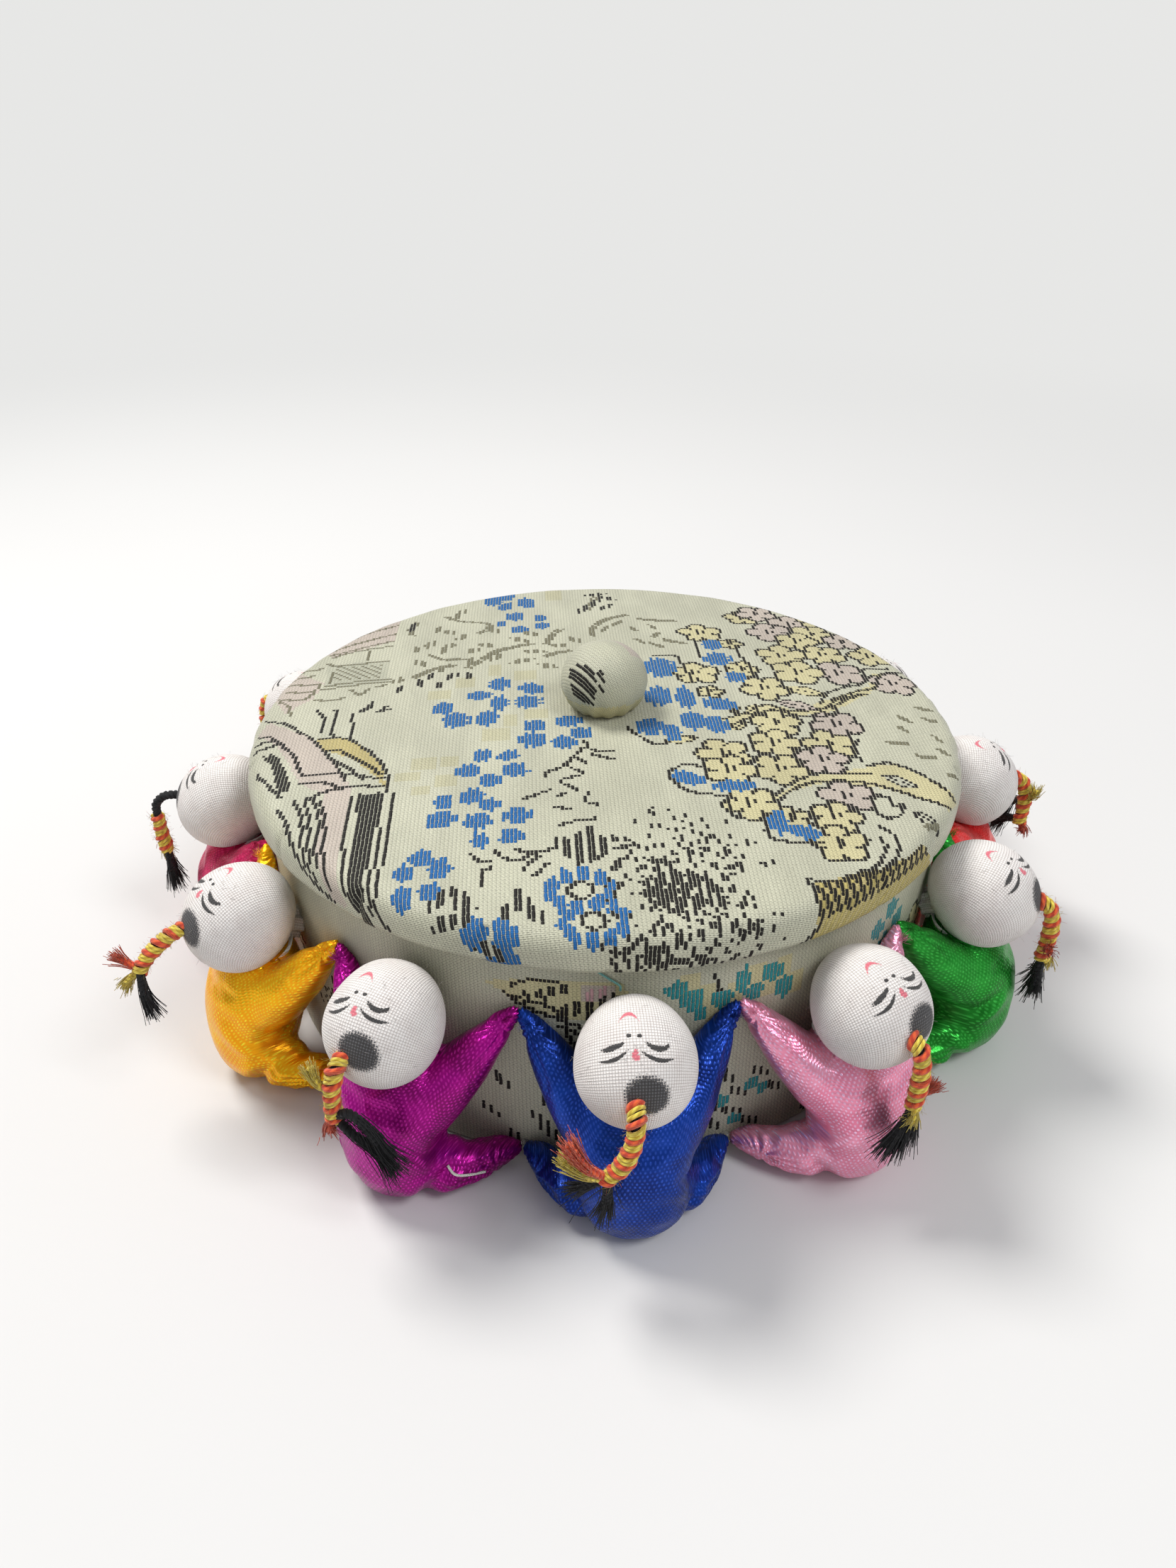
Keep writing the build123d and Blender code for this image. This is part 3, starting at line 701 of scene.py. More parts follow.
# places on the lid's flattened cloth: x to the right and y to the back, from the knob
lidFigures = dict(
    # middle, half width, half height and lean of each blue petal
    petals=[
        (-20.5, 54.5, 2.2, 4.0, 0), (-17.4, 57, 1.5, 3.4, 0), (-17.8, 49.5, 1.6, 2.6, -20),
        (-13.3, 51.5, 1.9, 3.5, 10), (-15.8, 43, 2.2, 2.6, 0), (-18.5, 39, 1.2, 1.7, 0),
        (-15, 35.5, 1.8, 1.7, 20), (-10.8, 41.8, 1.4, 1.9, 0), (-10.2, 37.3, 1.4, 1.8, 0),
        (-18.5, 10, 2.1, 2.6, -10), (-12.8, 7.5, 2.3, 2.0, -30), (-22.2, 5.8, 2.3, 1.8, 0),
        (-18.5, 2.3, 1.6, 2.8, 0), (-13.5, 2.5, 2.5, 2.4, 30), (-28.4, 1.5, 2.0, 2.1, 0),
        (-26, -3.3, 2.4, 2.8, 25), (-20.5, -3.2, 2.1, 2.8, -15), (-12.3, -6.4, 2.2, 2.0, -15),
        (-12.5, -11.3, 2.5, 2.5, 15), (-6.4, -5.2, 2.2, 2.1, 0), (-4.4, -9.2, 2.0, 1.9, -20),
        (-7.5, -12.4, 2.1, 2.1, 0), (-21, -15.5, 1.6, 2.1, 0), (-16.6, -16, 1.9, 1.6, 15),
        (-23.3, -20, 2.1, 2.0, 0), (-15.8, -20.5, 2.3, 2.1, -10), (-19.6, -23, 1.8, 1.9, 10),
        (-26.8, -28.5, 1.6, 1.9, 0), (-22.4, -27.3, 2.2, 2.0, 15), (-19.6, -30, 1.8, 1.6, -10),
        (-27, -33, 2.5, 2.1, 20), (-21.3, -34.2, 2.2, 2.1, 0), (-15.3, -33, 2.3, 2.0, 15),
        (-20.9, -39, 1.5, 1.7, 10), (-16.4, -38.3, 1.9, 2.0, 0), (-29.4, -42.2, 1.7, 2.0, -20),
        (-31.8, -45.5, 1.3, 2.1, 0), (-26.6, -44.7, 1.8, 2.3, 0), (-31.8, -51, 1.3, 2.8, 0),
        (-27.9, -50, 1.7, 2.1, -20), (-21.8, -58.5, 2.0, 2.8, 0), (-17.5, -59.5, 1.9, 3.1, 0),
        (-19.5, -63.5, 3.6, 1.5, 10), (11.5, 15, 3.0, 4.2, 0), (23, 26, 2.1, 2.6, -15),
        (23, 19, 2.6, 3.0, -15), (25.3, 11, 2.0, 2.3, -20), (10.2, 3.2, 2.6, 3.6, 0),
        (14.7, 2.5, 1.7, 4.2, 0), (20.5, 0, 3.2, 2.1, -15), (7.3, -8, 2.5, 3.0, 0),
        (11, -10.2, 1.7, 3.0, 0), (15, -6, 2.4, 3.2, 0), (19, -7.5, 2.1, 3.0, 0)],
    # what lies over the blossoms
    laterPetals=[
        (12, -24.3, 2.8, 1.8, -30), (19, -26.7, 3.8, 1.5, 5), (24.3, -36.3, 1.5, 3.0, 0),
        (27.7, -38.8, 2.7, 1.7, -25)],
    ghosts=[
        (-30.8, -17, 2.1, 1.9), (-26.5, -17, 1.6, 1.5), (-33, -20.7, 2.0, 1.2), (-26.7, -22.7, 1.7, 1.8),
        (-30.5, -24.8, 1.5, 1.3), (-19, -9.2, 2.4, 2.2), (-16.5, -4.3, 1.5, 2.0), (-11.8, -2, 2.2, 1.9),
        (-19.5, 15.8, 1.5, 2.2), (-13.8, 13.3, 2.1, 2.2), (-25, 11.5, 2.0, 2.0), (-29.3, 6.8, 2.2, 1.8),
        (-7.5, 56, 1.7, 3.4)],
    # middle, radius, turn and ground of each outlined blossom, the ones behind first
    blossoms=[
        (31.5, 41, 3.6, 20, 1), (35, 43.5, 4.2, 50, 2), (41, 37.5, 4.8, 10, 2), (36, 33, 4.8, 35, 2),
        (44.5, 32.5, 4.6, 60, 1), (40.5, 28.5, 4.4, 0, 1), (54, 22, 4.4, 30, 1), (47, 40, 4.0, 15, 1),
        (50, 29, 4.0, 15, 2), (21.5, 32, 4.4, 25, 1), (26.7, 26.5, 2.5, 0, 1), (44.3, 22, 4.5, 45, 1),
        (36, 21, 5.0, 15, 1), (27, 14.5, 3.2, 0, 1), (45.5, 13.5, 5.0, 40, 2), (37.5, 13.5, 5.0, 0, 1),
        (18, 12.5, 4.5, 20, 1), (55, 10, 4.6, 10, 2), (30, 6.5, 4.6, 55, 1), (19.6, 4.6, 2.4, 0, 1),
        (29.5, -6.8, 4.4, 15, 1), (40, -7, 4.6, 50, 2), (28, -13.5, 4.4, 0, 1), (37.3, -14, 4.6, 30, 1),
        (18.8, -17, 4.6, 40, 1), (35, -18.8, 4.4, 10, 2), (27.3, -21.7, 4.6, 55, 1), (19, -22, 4.4, 0, 1),
        (36.5, -29.3, 4.5, 25, 2), (21, -31.5, 4.5, 45, 1), (33.5, -35, 4.0, 0, 1),
        (26.5, -35.5, 3.0, 30, 1), (32.5, -41.7, 4.4, 20, 1)],
    # outlined leaves on the branches: middle, turn, half length, half width, ground
    leaves=[
        (37, 5.5, -25, 4.4, 1.9, 1), (34.5, -0.2, -25, 4.2, 1.7, 2), (12.2, -12.4, 10, 3.2, 1.4, 1),
        (22.5, -8, 35, 2.6, 1.2, 1), (46.3, -25, -35, 3.4, 1.4, 0), (48, -35.5, -50, 3.2, 1.3, 0),
        (26, -2, 60, 2.6, 1.2, 1), (23, -1.8, 80, 2.4, 1.0, 1)],
    # the double lines of the branches
    branches=[
        [(20.5, -5.5), (25, -3), (29, 0), (33, -2.5), (39.5, -1), (42, 2), (47, 4.5)],
        [(21, -8), (25, -5), (29.5, -2), (34, -4), (38.5, -4), (41.5, -2), (41.5, 0), (45, 3), (48.5, 5)],
        [(40.5, -1), (42, 2.5), (47, 6), (51, 8), (52.5, 12), (55, 14.5), (58, 15)],
        [(39, 0.5), (41, 4.5), (45, 7.5), (49, 9.5), (50.5, 13.5), (51, 16), (56, 16.5)],
        [(25, -31), (29, -27), (34, -25), (40, -25.5), (45, -27.5), (50, -30.5), (53.5, -31.5)],
        [(25, -29.5), (28, -26), (32, -23.5), (37, -22.5), (42, -23)],
        [(42, -20.5), (46, -19.5), (50, -22), (52.5, -25.5), (55, -29)],
        [(41.3, -19.5), (41, -16), (42.5, -12)],
        [(39.5, -37.5), (41.5, -40), (41, -43.5), (39, -46.5), (35, -49), (29, -50.5), (26.5, -50)],
        [(39, -40), (39.2, -43), (36.5, -47), (32, -49.5)],
        [(26, -50), (26.5, -54), (27.5, -57), (27, -59.5), (26, -61)],
        [(41.5, -29), (40, -31), (41, -35), (44, -34), (44.7, -31.5), (43.3, -32), (43, -29.5),
         (41.5, -29)],
        [(3.7, -8), (4.2, -10), (6, -12), (7, -13.5), (9.5, -14)],
        [(9.2, -22.5), (9.2, -24.5), (11.5, -28), (17, -29.5)], [(9.5, -22), (12, -20.2), (14.5, -21)],
        [(17.5, -29.5), (17.5, -34.5), (21, -36.2)], [(22, -36), (22.3, -40), (26.5, -41.5), (30, -41.5)],
        [(17, 9), (16, 16), (15, 20), (11, 20.5)], [(20, 29), (19.5, 24), (20, 20)],
        [(27, 29), (27.5, 24), (28, 19), (29, 14), (29.5, 10)]],
    # short strokes of grass at the right
    strokes=[
        [(52, -3), (53.5, -5)], [(51, -7), (52, -8.5)], [(47.5, -12.5), (51, -12.5)],
        [(56.5, 0.5), (59, 0)], [(56.5, -3.5), (58.5, -4.5)], [(56.5, -9.5), (57.5, -11.5)],
        [(51.5, -16.5), (54.5, -17)], [(55, -22.5), (56.5, -22.5)], [(56, -14.5), (57.2, -15.5)],
        [(47, -37), (49.5, -36)], [(9.5, 40), (13, 39.5)], [(13, 39), (17, 39.2)], [(7.5, 35.5), (8.5, 34)],
        [(11.5, 36.5), (12.5, 35)], [(13.5, 28.5), (17.5, 26.8)], [(10.5, 27), (13, 25)],
        [(8, 29), (9.5, 27)], [(13, 32), (11.5, 30)], [(6, 39), (4, 36.5)], [(3, 36), (1.5, 33.5)]],
    # rocks and the old trunks at the left
    rocks=[
        [(-59.8, 1.5), (-56, 0), (-53.5, -3), (-51, -5.5), (-49.5, -8), (-48, -10.5), (-45.5, -14.5),
         (-44.5, -17), (-43, -20.5)],
        [(-60.8, -3.8), (-58, -4.5), (-55.5, -7.5), (-53, -11), (-51.5, -15), (-50.5, -17.5)],
        [(-49.5, -6.5), (-45, -7), (-42, -9.5), (-39, -13.5), (-37.5, -16.5), (-36.2, -20), (-36, -24.5)],
        [(-48, -10.5), (-45, -11), (-42.5, -13.5), (-39.5, -16.5), (-37.5, -19.5)],
        [(-47, -12.5), (-44, -15.5), (-42, -18), (-40, -20.5)],
        [(-50.5, -18), (-46.5, -18), (-43, -18.5), (-39, -20), (-36.2, -20.5)],
        [(-50.5, -20.5), (-46.5, -20.5), (-43.5, -22.2), (-39, -22.5), (-36.2, -22.5)],
        [(-48.5, -25), (-46, -23.2), (-43, -23)], [(-60.5, -9), (-58, -8), (-56, -7)],
        [(-60.5, -6.5), (-58, -6), (-57, -5.5)], [(-58.5, -16.5), (-56.5, -19), (-54.5, -22), (-53, -24)],
        [(-58, -11), (-55.5, -14), (-53.5, -18), (-53, -22)],
        [(-57, -10.5), (-54.8, -14), (-52.8, -18.5), (-52, -22)],
        [(-53, -27.5), (-51, -31), (-49.5, -36), (-48.5, -40), (-47, -44), (-44.5, -48)],
        [(-50.5, -25.5), (-49, -29), (-48, -34), (-47.5, -39), (-46, -44)],
        [(-48.8, -26), (-47.5, -30), (-46.8, -36), (-46.2, -41)],
        [(-47.8, -25), (-46.2, -29), (-45.5, -36), (-45.2, -42)],
        [(-46.2, -26), (-45, -31), (-44.2, -38), (-43.8, -46)],
        [(-41.5, -25), (-41.2, -34), (-41, -42), (-40.5, -48), (-39.5, -53)],
        [(-40, -24.5), (-39.8, -34), (-39.5, -44), (-39.2, -54)],
        [(-34.8, -25), (-34.8, -33), (-34.8, -43)],
        [(-35.8, -43), (-35.4, -48), (-36.2, -53), (-35.5, -55)],
        [(-36.5, -25), (-36.3, -34), (-36.3, -44), (-37, -52)], [(-51.2, 4), (-49.5, 1), (-49.5, -4.5)],
        [(-47.7, 3.5), (-47.5, -1.5), (-47, -6.5)], [(-44.5, 1.5), (-43.8, -4), (-43.5, -8)],
        [(-43.2, 2.5), (-41.7, 4.5), (-41.5, 6)], [(-42.6, 2.5), (-41.2, 4)], [(-39.5, 2), (-38.5, 3.8)],
        [(-40, 1.6), (-38, 2.6)]],
    # the mountains and the roof behind them, woven in olive
    hills=[
        [(-53, 30), (-48.5, 33), (-43.5, 35.5), (-40, 37)],
        [(-52, 33.5), (-47.5, 37.5), (-42.5, 40.5), (-40, 42)], [(-51, 36.5), (-46.5, 41), (-42, 44.5)],
        [(-49.5, 39), (-44.5, 44), (-40.5, 47.5)], [(-52.5, 28), (-46, 31), (-40.5, 33)],
        [(-51.7, 27), (-48, 29), (-43.5, 30), (-40.5, 30.5)], [(-44.8, 29.5), (-44.2, 27), (-44.2, 24.5)],
        [(-52, 24), (-50, 22.5), (-46, 23), (-40, 23.3)], [(-51.5, 12.5), (-45, 13.5), (-39, 14)],
        [(-51, 13.8), (-45, 14.8), (-39, 15)], [(-50.5, 20), (-50.5, 15)], [(-58, 15.5), (-53, 15)],
        [(-58.5, 12.5), (-53.5, 12)], [(-59, 9), (-56.5, 6.5), (-56, 3)],
        [(-59.5, 10), (-55, 9), (-53, 11), (-52.2, 15)], [(-58.5, 18), (-54, 19)], [(-57.5, 21), (-53, 22)],
        [(-52, 8.5), (-49, 7.5), (-47, 8.5)], [(-46, 11.5), (-44, 9), (-42.5, 11.5)],
        [(-41.5, 12), (-39.5, 12.5)]],
    # branches and leaves across the back
    twigs=[
        [(-30.5, 45), (-28, 42.5), (-22, 40), (-21.5, 37), (-23.5, 34.5)],
        [(-32.5, 25), (-30, 22.5), (-26.2, 22)], [(-35, 15), (-32, 18), (-28, 19.5)],
        [(-25, 18), (-22, 22), (-19, 25.5), (-13, 28)], [(-10, 27.5), (-8.5, 32.5), (-7, 35)],
        [(-0.5, 31), (-0.5, 35), (2.5, 40), (7, 42.5)], [(-10.5, 21.5), (-8, 23), (-5.5, 23.8)],
        [(-1, 46), (0.5, 51), (1, 54.5)], [(-36.5, 43), (-37.5, 39), (-37, 36)]],
    # middle, turn and half length of the small hatched leaves
    smallLeaves=[
        (-14.8, 30, -35, 2.6), (-21.5, 28, -30, 2.2), (-24, 25.5, 30, 2.0), (-26.3, 33, 50, 2.2),
        (-31.5, 38, 60, 2.2), (-29, 36, -50, 1.8), (-32.5, 30, 80, 2.4), (-30, 26.5, 80, 2.2),
        (-35, 28, -60, 2.2), (-28.5, 44.5, 80, 2.6), (-27, 47.5, 70, 2.2), (-34, 21.5, -60, 2.0),
        (-29.5, 18, 60, 2.0), (-20, 35.5, -60, 2.0), (-12, 24, -15, 3.0), (-14.5, 19.5, 20, 3.0),
        (-9.5, 17, -30, 2.4), (-7, 26.5, 0, 2.2), (-4, 29, -60, 2.2), (-12.5, 33, -40, 2.2),
        (-19.5, 22, 60, 2.0), (-24.5, 20.5, 70, 2.2), (-37.5, 14, 80, 1.8), (-28.5, 29, 70, 1.6)],
    darkLeaves=[
        (-36.5, 10.5, 65, 1.9), (-33.5, 12.5, -70, 1.9), (-31.5, 15, 70, 1.7), (-30, 11, 60, 1.9),
        (-27.5, 14.5, 40, 2.2), (-24.5, 14.5, -70, 1.9), (1, 50, 65, 4.2), (-1.5, 46.5, 75, 3.4),
        (4, 53.5, -40, 3.0), (3.5, 47.5, 60, 2.6), (-37, 40, 80, 3.0), (1.5, 56, 10, 3.0)],
    # broken twigs in the middle and in front
    middle=[
        [(-4, -12.3), (-3, -15), (0.5, -15.5)], [(-3, -16.5), (0.5, -18.3)],
        [(-4.3, -14.3), (-6, -17), (-8, -20), (-10.5, -21.5), (-10.8, -23)], [(-6, -17), (-4, -19.5)],
        [(-7, -20), (-5, -22.3), (-8.5, -24), (-7.5, -25.5), (-6, -26.8)],
        [(-14.3, -28.8), (-12, -27.5), (-10, -26.5)], [(-9.3, -28.5), (-8, -27.8)],
        [(-9.5, -31), (-7, -32)], [(-4.2, -27.5), (-4.8, -30), (-2.8, -31)],
        [(-9, -36), (-6.5, -35), (-3.5, -34.5)], [(-22, -42.3), (-20.5, -43.8), (-19, -44)],
        [(-18.8, -41.5), (-17, -43.5), (-15, -44), (-13, -42.5), (-10, -41.5)],
        [(-15.5, -41.5), (-13.5, -42.3)], [(-14.5, -46), (-13.5, -44.3), (-12, -43)],
        [(-13, -47.5), (-11, -45)], [(-20.5, -49), (-20.5, -46), (-19, -45.3)], [(-1, -42), (2, -41)],
        [(-1.5, -45.5), (0.5, -44)]],
    # rock grounds: the outlines of their fills
    areas=[
        (2, [(-61, -3), (-59, 1), (-50, -6.5), (-44.5, -17), (-41.5, -23), (-41.5, -50), (-44.5, -48),
         (-46, -24), (-50.5, -20), (-56, -8)]),
        (3, [(-49.5, -6.5), (-45, -7), (-42, -9.5), (-37.5, -16.5), (-36, -24.5), (-38, -20), (-43, -13.5),
         (-48, -10.5)]),
        (2, [(-53, 29), (-51, 37), (-40, 48), (-40, 33), (-51.5, 27)]),
        (2, [(-58, 22), (-51.5, 15), (-52.5, 9), (-57, 4), (-61, 12)]),
        (5, [(-52, 23), (-40, 24), (-39.5, 14), (-51, 13.5)]),
        (1, [(20, -6), (29, 0.5), (34, -2.5), (41, 2.5), (50, 8.5), (52, 14), (57, 15), (55, 13), (49, 5),
         (41, -2), (33, -4.5), (29, -2.5), (21, -8)]),
        (1, [(24, -31), (30, -24.5), (38, -22), (47, -19.5), (56, -29), (53, -32), (44, -27.5), (35, -25),
         (28, -28)]),
        (3, [(27, -51), (39, -47), (46, -41), (54, -44), (44, -58), (28, -68), (27, -58)])],
    # blocks of long floats in the trunk
    trunks=[
        [(-40, -25), (-37, -24.5), (-36.8, -40), (-38.2, -54), (-39.6, -54), (-39.8, -40)],
        [(-57.5, -10), (-55.5, -11), (-52.5, -20), (-53.2, -24), (-55, -18)]],
    # in front: middles of the chrysanthemums; middle, turn, half length and own width of the leaves
    chrysanthemums=[(-6.5, -51), (-5, -57.5)],
    frontLeaves=[
        (-26, -51.5, 60, 3.2), (-23.2, -52.5, 100, 3.4), (-25.5, -56, 20, 2.6), (-22.3, -54.5, 80, 2.8),
        (-17, -55, 60, 2.6), (-15, -52.5, 100, 2.8), (-13.2, -55.5, 120, 2.6), (-20, -61.5, 150, 2.8),
        (-5.5, -41, 75, 5.2, 2.6), (-8, -41.5, 115, 3.6, 1.5), (-3, -42, 60, 3.6, 1.3)],
    # middle, radius, chance, seed and squeeze of the loose dots round the bush
    sprays=[
        (7.5, -51, 13, 0.34, 3, 0.8), (9, -45, 15, 0.20, 5, 0.9), (11, -60, 12, 0.32, 6, 0.6),
        (3, -65, 9, 0.8, 8, 0.5)],
)


def lidPattern():
    c = Canvas(152, 152)
    f = lidFigures
    for ground, outline in f["areas"]:
        c.area(outline, ground)
    for spot in f["ghosts"]:
        c.ghost(*spot)
    for path in f["hills"] + f["twigs"]:
        c.line(path, olive)
    for path in f["twigs"]:
        c.line([(x + 0.7, y - 0.4) for x, y in path], olive)
    lattice = (c.gx > -50) & (c.gx < -41) & (c.gy > 16) & (c.gy < 22)
    c.figure[lattice & ((c.column + c.row) % 3 == 0)] = olive
    c.hatched(*f["smallLeaves"], colour=olive, width=1.1)
    c.hatched(*f["darkLeaves"], width=1.0)
    for path in f["rocks"] + f["middle"]:
        c.line(path)
    # the trunk is a block of long floats
    for outline in f["trunks"]:
        c.area(outline, 5, black)
    for spot in f["blossoms"]:
        c.blossom(*spot)
    for *shape, ground in f["leaves"]:
        c.leaf(*shape, black, ground)
    for path in f["branches"]:
        c.line(path)
    for path in f["strokes"]:
        c.line(path, olive)
        c.line([(x + 0.2, y - 0.6) for x, y in path], olive)
    for spot in f["petals"] + f["laterPetals"]:
        c.petal(*spot)
    # two chrysanthemums, their narrow petals set round a black ring
    for x, y in f["chrysanthemums"]:
        for k in range(10):
            a = math.radians(36 * k + 12)
            c.petal(x + 4.2 * math.cos(a), y + 3.6 * math.sin(a), 1.0, 1.7, -14 * math.cos(a))
        c.line([(x + 1.7 * math.cos(a), y + 1.7 * math.sin(a)) for a in np.linspace(0, 6.28, 14)])
    c.hatched(*f["frontLeaves"], width=1.3)
    # a bush, dense at its heart, with loose dots round it
    for k in range(15):
        a = math.radians(24 * k)
        heart = (7.4 + 3.9 * math.cos(a), -52 + 3.2 * math.sin(a), 90 - 30 * math.cos(a), 1.9, 0.8)
        c.hatched(heart, hatch=4)
    c.hatched((7.2, -52.5, 80, 3.2, 1.6))
    for x, y, radius, chance, seed, upper in f["sprays"]:
        c.spray(x, y, radius, chance, black, seed, upper)
    # diagonal ticks of the gold border at the front right
    far = np.hypot(c.gx, c.gy)
    border = (c.ground == 3) & (c.gx > 20)
    c.figure[border & ((c.column + c.row // 2) % 3 != 0) & (far > 58) & (far < 63.5)] = black
    c.figure[border & (c.figure == 0) & (c.column % 2 == 0)] = gold
    # leaves and petals where the cloth turns down
    rng = np.random.default_rng(11)
    for k in range(46):
        a = rng.uniform(0, 2 * math.pi)
        colour = [black, gold, blue, black, olive][k % 5]
        c.hatched((69.5 * math.cos(a), 69.5 * math.sin(a), rng.uniform(0, 180), 3.2, 1.3), colour=colour)
    return c


# places on the wall's strip: x to the right of the seam; y of the first group from the top of the
# front's figures, y of the second from the middle of the wall
wallFigures = dict(
    areas=[
        (1, [(-21, -1), (-13, 1), (-1, 1), (1, -4), (-5, -6.5), (-13, -5.5)]),
        (2, [(-7, 0.5), (-2, 0), (-2.5, -3), (-7, -2.5)])],
    leaves=[
        (-4, -3.6, 55, 3.6, 2.2), (-2.2, -5.6, 70, 2.8, 1.6), (-8.4, -4.6, 35, 3.0, 1.3),
        (-11, -1.2, 20, 3.4, 1.0)],
    lines=[
        [(-17, -1), (-14, 0.6), (-10, 0.8)], [(-18, -2.5), (-15, -4.5), (-11, -6), (-6, -8)],
        [(-16, -3.2), (-12, -3.8), (-9, -6.5)], [(-10, -7.5), (-6.5, -9.5), (-4.5, -11)],
        [(-9, -9), (-7.5, -12)], [(-6, -8), (-4, -9.5), (-3.5, -12)], [(-13, -1.5), (-12, -3)],
        [(-15, -1.5), (-14.5, -3)]],
    petals=[
        (6.5, -1, 1.6, 1.6), (8.8, -3.4, 1.7, 2.2), (10.2, -6.2, 0.8, 1.6), (13.4, -4, 1.7, 1.8),
        (16.5, -1.5, 1.3, 2.6), (18.5, -4.2, 1.6, 1.4), (21.2, -1.4, 1.7, 2.0), (23.5, -5, 1.4, 2.2)],
    ticks=[
        (-14, 3), (-12.5, 0), (-10.4, -1), (-12.5, -8.5), (-11, -9.5), (-14.5, -12), (-13, -14),
        (-11.8, -15.2), (-9, -4), (-20, -5), (-22, -12), (-18, -17), (12.5, -3), (14, -5), (11.5, -9),
        (13, -11), (12, -14.5), (15.5, -13), (16.4, -9), (20, -6), (22.5, -10), (24, -2), (18.6, -16)],
    lowPetals=[
        (12.5, -10.5, 1.3, 1.3), (14.8, -11.5, 0.9, 1.4), (19.5, -9.5, 1.4, 1.4), (21.6, -11, 1.0, 1.4),
        (10.5, -16, 1.2, 1.0), (17, -16, 1.3, 1.2)],
    count=40,
)


def wallPattern(width, height):
    # the strip unrolled: x runs round from the front seam, y up from the middle of the wall
    c = Canvas(width, height, wrap=True)
    f = wallFigures
    rng = np.random.default_rng(21)
    half = height / 2
    for k in range(f["count"]):
        x = (k + rng.uniform(-0.3, 0.3)) * width / f["count"] - width / 2
        y = rng.uniform(-half * 0.7, half * 0.5)
        kind = k % 5
        if kind == 0:
            for turn in range(4):
                a = 1.57 * turn + k
                c.petal(x + 3 * math.cos(a), y + 3 * math.sin(a), 1.6, 1.8, 0, teal)
        elif kind == 1:
            c.blossom(x, y, 4.4, k * 20, 1)
        elif kind == 2:
            c.leaf(x, y, rng.uniform(0, 180), 5.0, 2.0, black, 1, 3)
            c.leaf(x + 3, y + 3, rng.uniform(0, 180), 4.0, 1.4, black)
        elif kind == 3:
            c.line([(x - 6, y), (x - 2, y + 3), (x + 3, y + 1), (x + 7, y + 4)])
            c.line([(x - 6, y + 1.4), (x - 2, y + 4.6), (x + 3, y + 2.6)])
        else:
            c.spray(x, y, 8, 0.25, black, k)
    # the front: a dark leaf left of the seam, teal petals right of it
    near = np.abs(c.gx - 1) < 27
    c.figure[near] = 0
    c.ground[near] = 0
    top = half - 13.5
    for ground, outline in f["areas"]:
        c.area([(x, top + y) for x, y in outline], ground)
    c.hatched(*((x, top + y, *shape) for x, y, *shape in f["leaves"]))
    for path in f["lines"]:
        c.line([(x, top + y) for x, y in path])
    c.leaf(-4.6, top - 1.2, 30, 2.4, 1.0, rose, 2, 3)
    for x, y, wide, tall in f["petals"]:
        c.petal(x, top + y, wide, tall, 0, teal)
        c.ghost(x + 2, top + y + 0.4, 1.4, 2.0, 1)
    c.line([(12, top + 0.5), (13, top - 2.6)])
    for x, y in f["ticks"]:
        for dx, high, low in ((0, 0, 1.5), (1.0, 0.7, 2.1), (2.2, 1.7, 2.6)):
            c.line([(x + dx, y - high), (x + dx, y - low)])
    for spot in f["lowPetals"]:
        c.petal(*spot, 0, teal)
    return c


def knobPattern():
    c = Canvas(48, 48)
    c.hatched((-8.5, -3.0, 75, 5.0, 3.0), hatch=4)
    c.hatched((-5.5, -6.0, 60, 2.2, 0.8))
    c.ground[(c.gx > 3) & (c.gy > -4) & (c.gx + c.gy < 15)] = 2
    c.ground[np.hypot(c.gx, c.gy) > 13] = 1
    c.spray(6, 4, 7, 0.10, gold, 4)
    return c


def paintCells(thing, canvas, row, column, uv):
    # each face's own colours and ties; uv holds its corners in cells
    figure = canvas.figure[row, column]
    ground = canvas.ground[row, column]
    wobble = np.random.default_rng(2).uniform(0.86, 1.1, canvas.figure.shape)[row, column, None]
    ones = np.ones((len(row), 1))
    above = canvas.figure[np.minimum(row + 1, canvas.rows - 1), column]
    below = canvas.figure[np.maximum(row - 1, 0), column]
    # a float passes into the next cell of its colour, unless it is tied down between them
    joinsAbove = (above == figure) & ((row + 1 + 2 * column) % 3 != 0)
    joinsBelow = (below == figure) & ((row + 2 * column) % 3 != 0)
    for name, values in dict(
            figure=[np.array(weave["thread"])[figure] * wobble, (figure > 0)[:, None]],
            ground=[np.array(weave["ground"])[ground], ones],
            ties=[np.stack([joinsAbove, joinsBelow], 1), 0 * ones, ones]).items():
        setCornerColour(thing, name, np.repeat(np.hstack(values), 4, axis=0))
    setCornerUv(thing, "cells", uv.reshape(-1, 2))


def cellCorners(row, column):
    # the four corners of each cell, counted in cells
    return np.stack([np.stack([column + a, row + b], 1) for a, b in ((0, 0), (1, 0), (1, 1), (0, 1))], 1)


def cellPatch(canvas, profile, split=1):
    # a canvas laid over a turned shape: for each point its length along the profile, angle, radius and
    # height, and for each face its corner points and a row for paintCells
    n = canvas.columns * split
    step = canvas.cell / split
    edge = (np.arange(n + 1) - n / 2) * step
    centre = (np.arange(n) + 0.5 - n / 2) * step
    reach = lengthsAlong(profile)
    row, column = np.nonzero(np.hypot(*np.meshgrid(centre, centre)) < reach[-1] - canvas.cell)
    corners = cellCorners(row, column)
    used, quads = np.unique(corners[..., 1] * (n + 1) + corners[..., 0], return_inverse=True)
    x, y = edge[used % (n + 1)], edge[used // (n + 1)]
    s = np.hypot(x, y)
    radius, height = (np.interp(s, reach, part) for part in profile.T)
    cells = (row // split, column // split, corners / split)
    return s, np.arctan2(y, x), radius, height, quads.reshape(-1, 4), cells


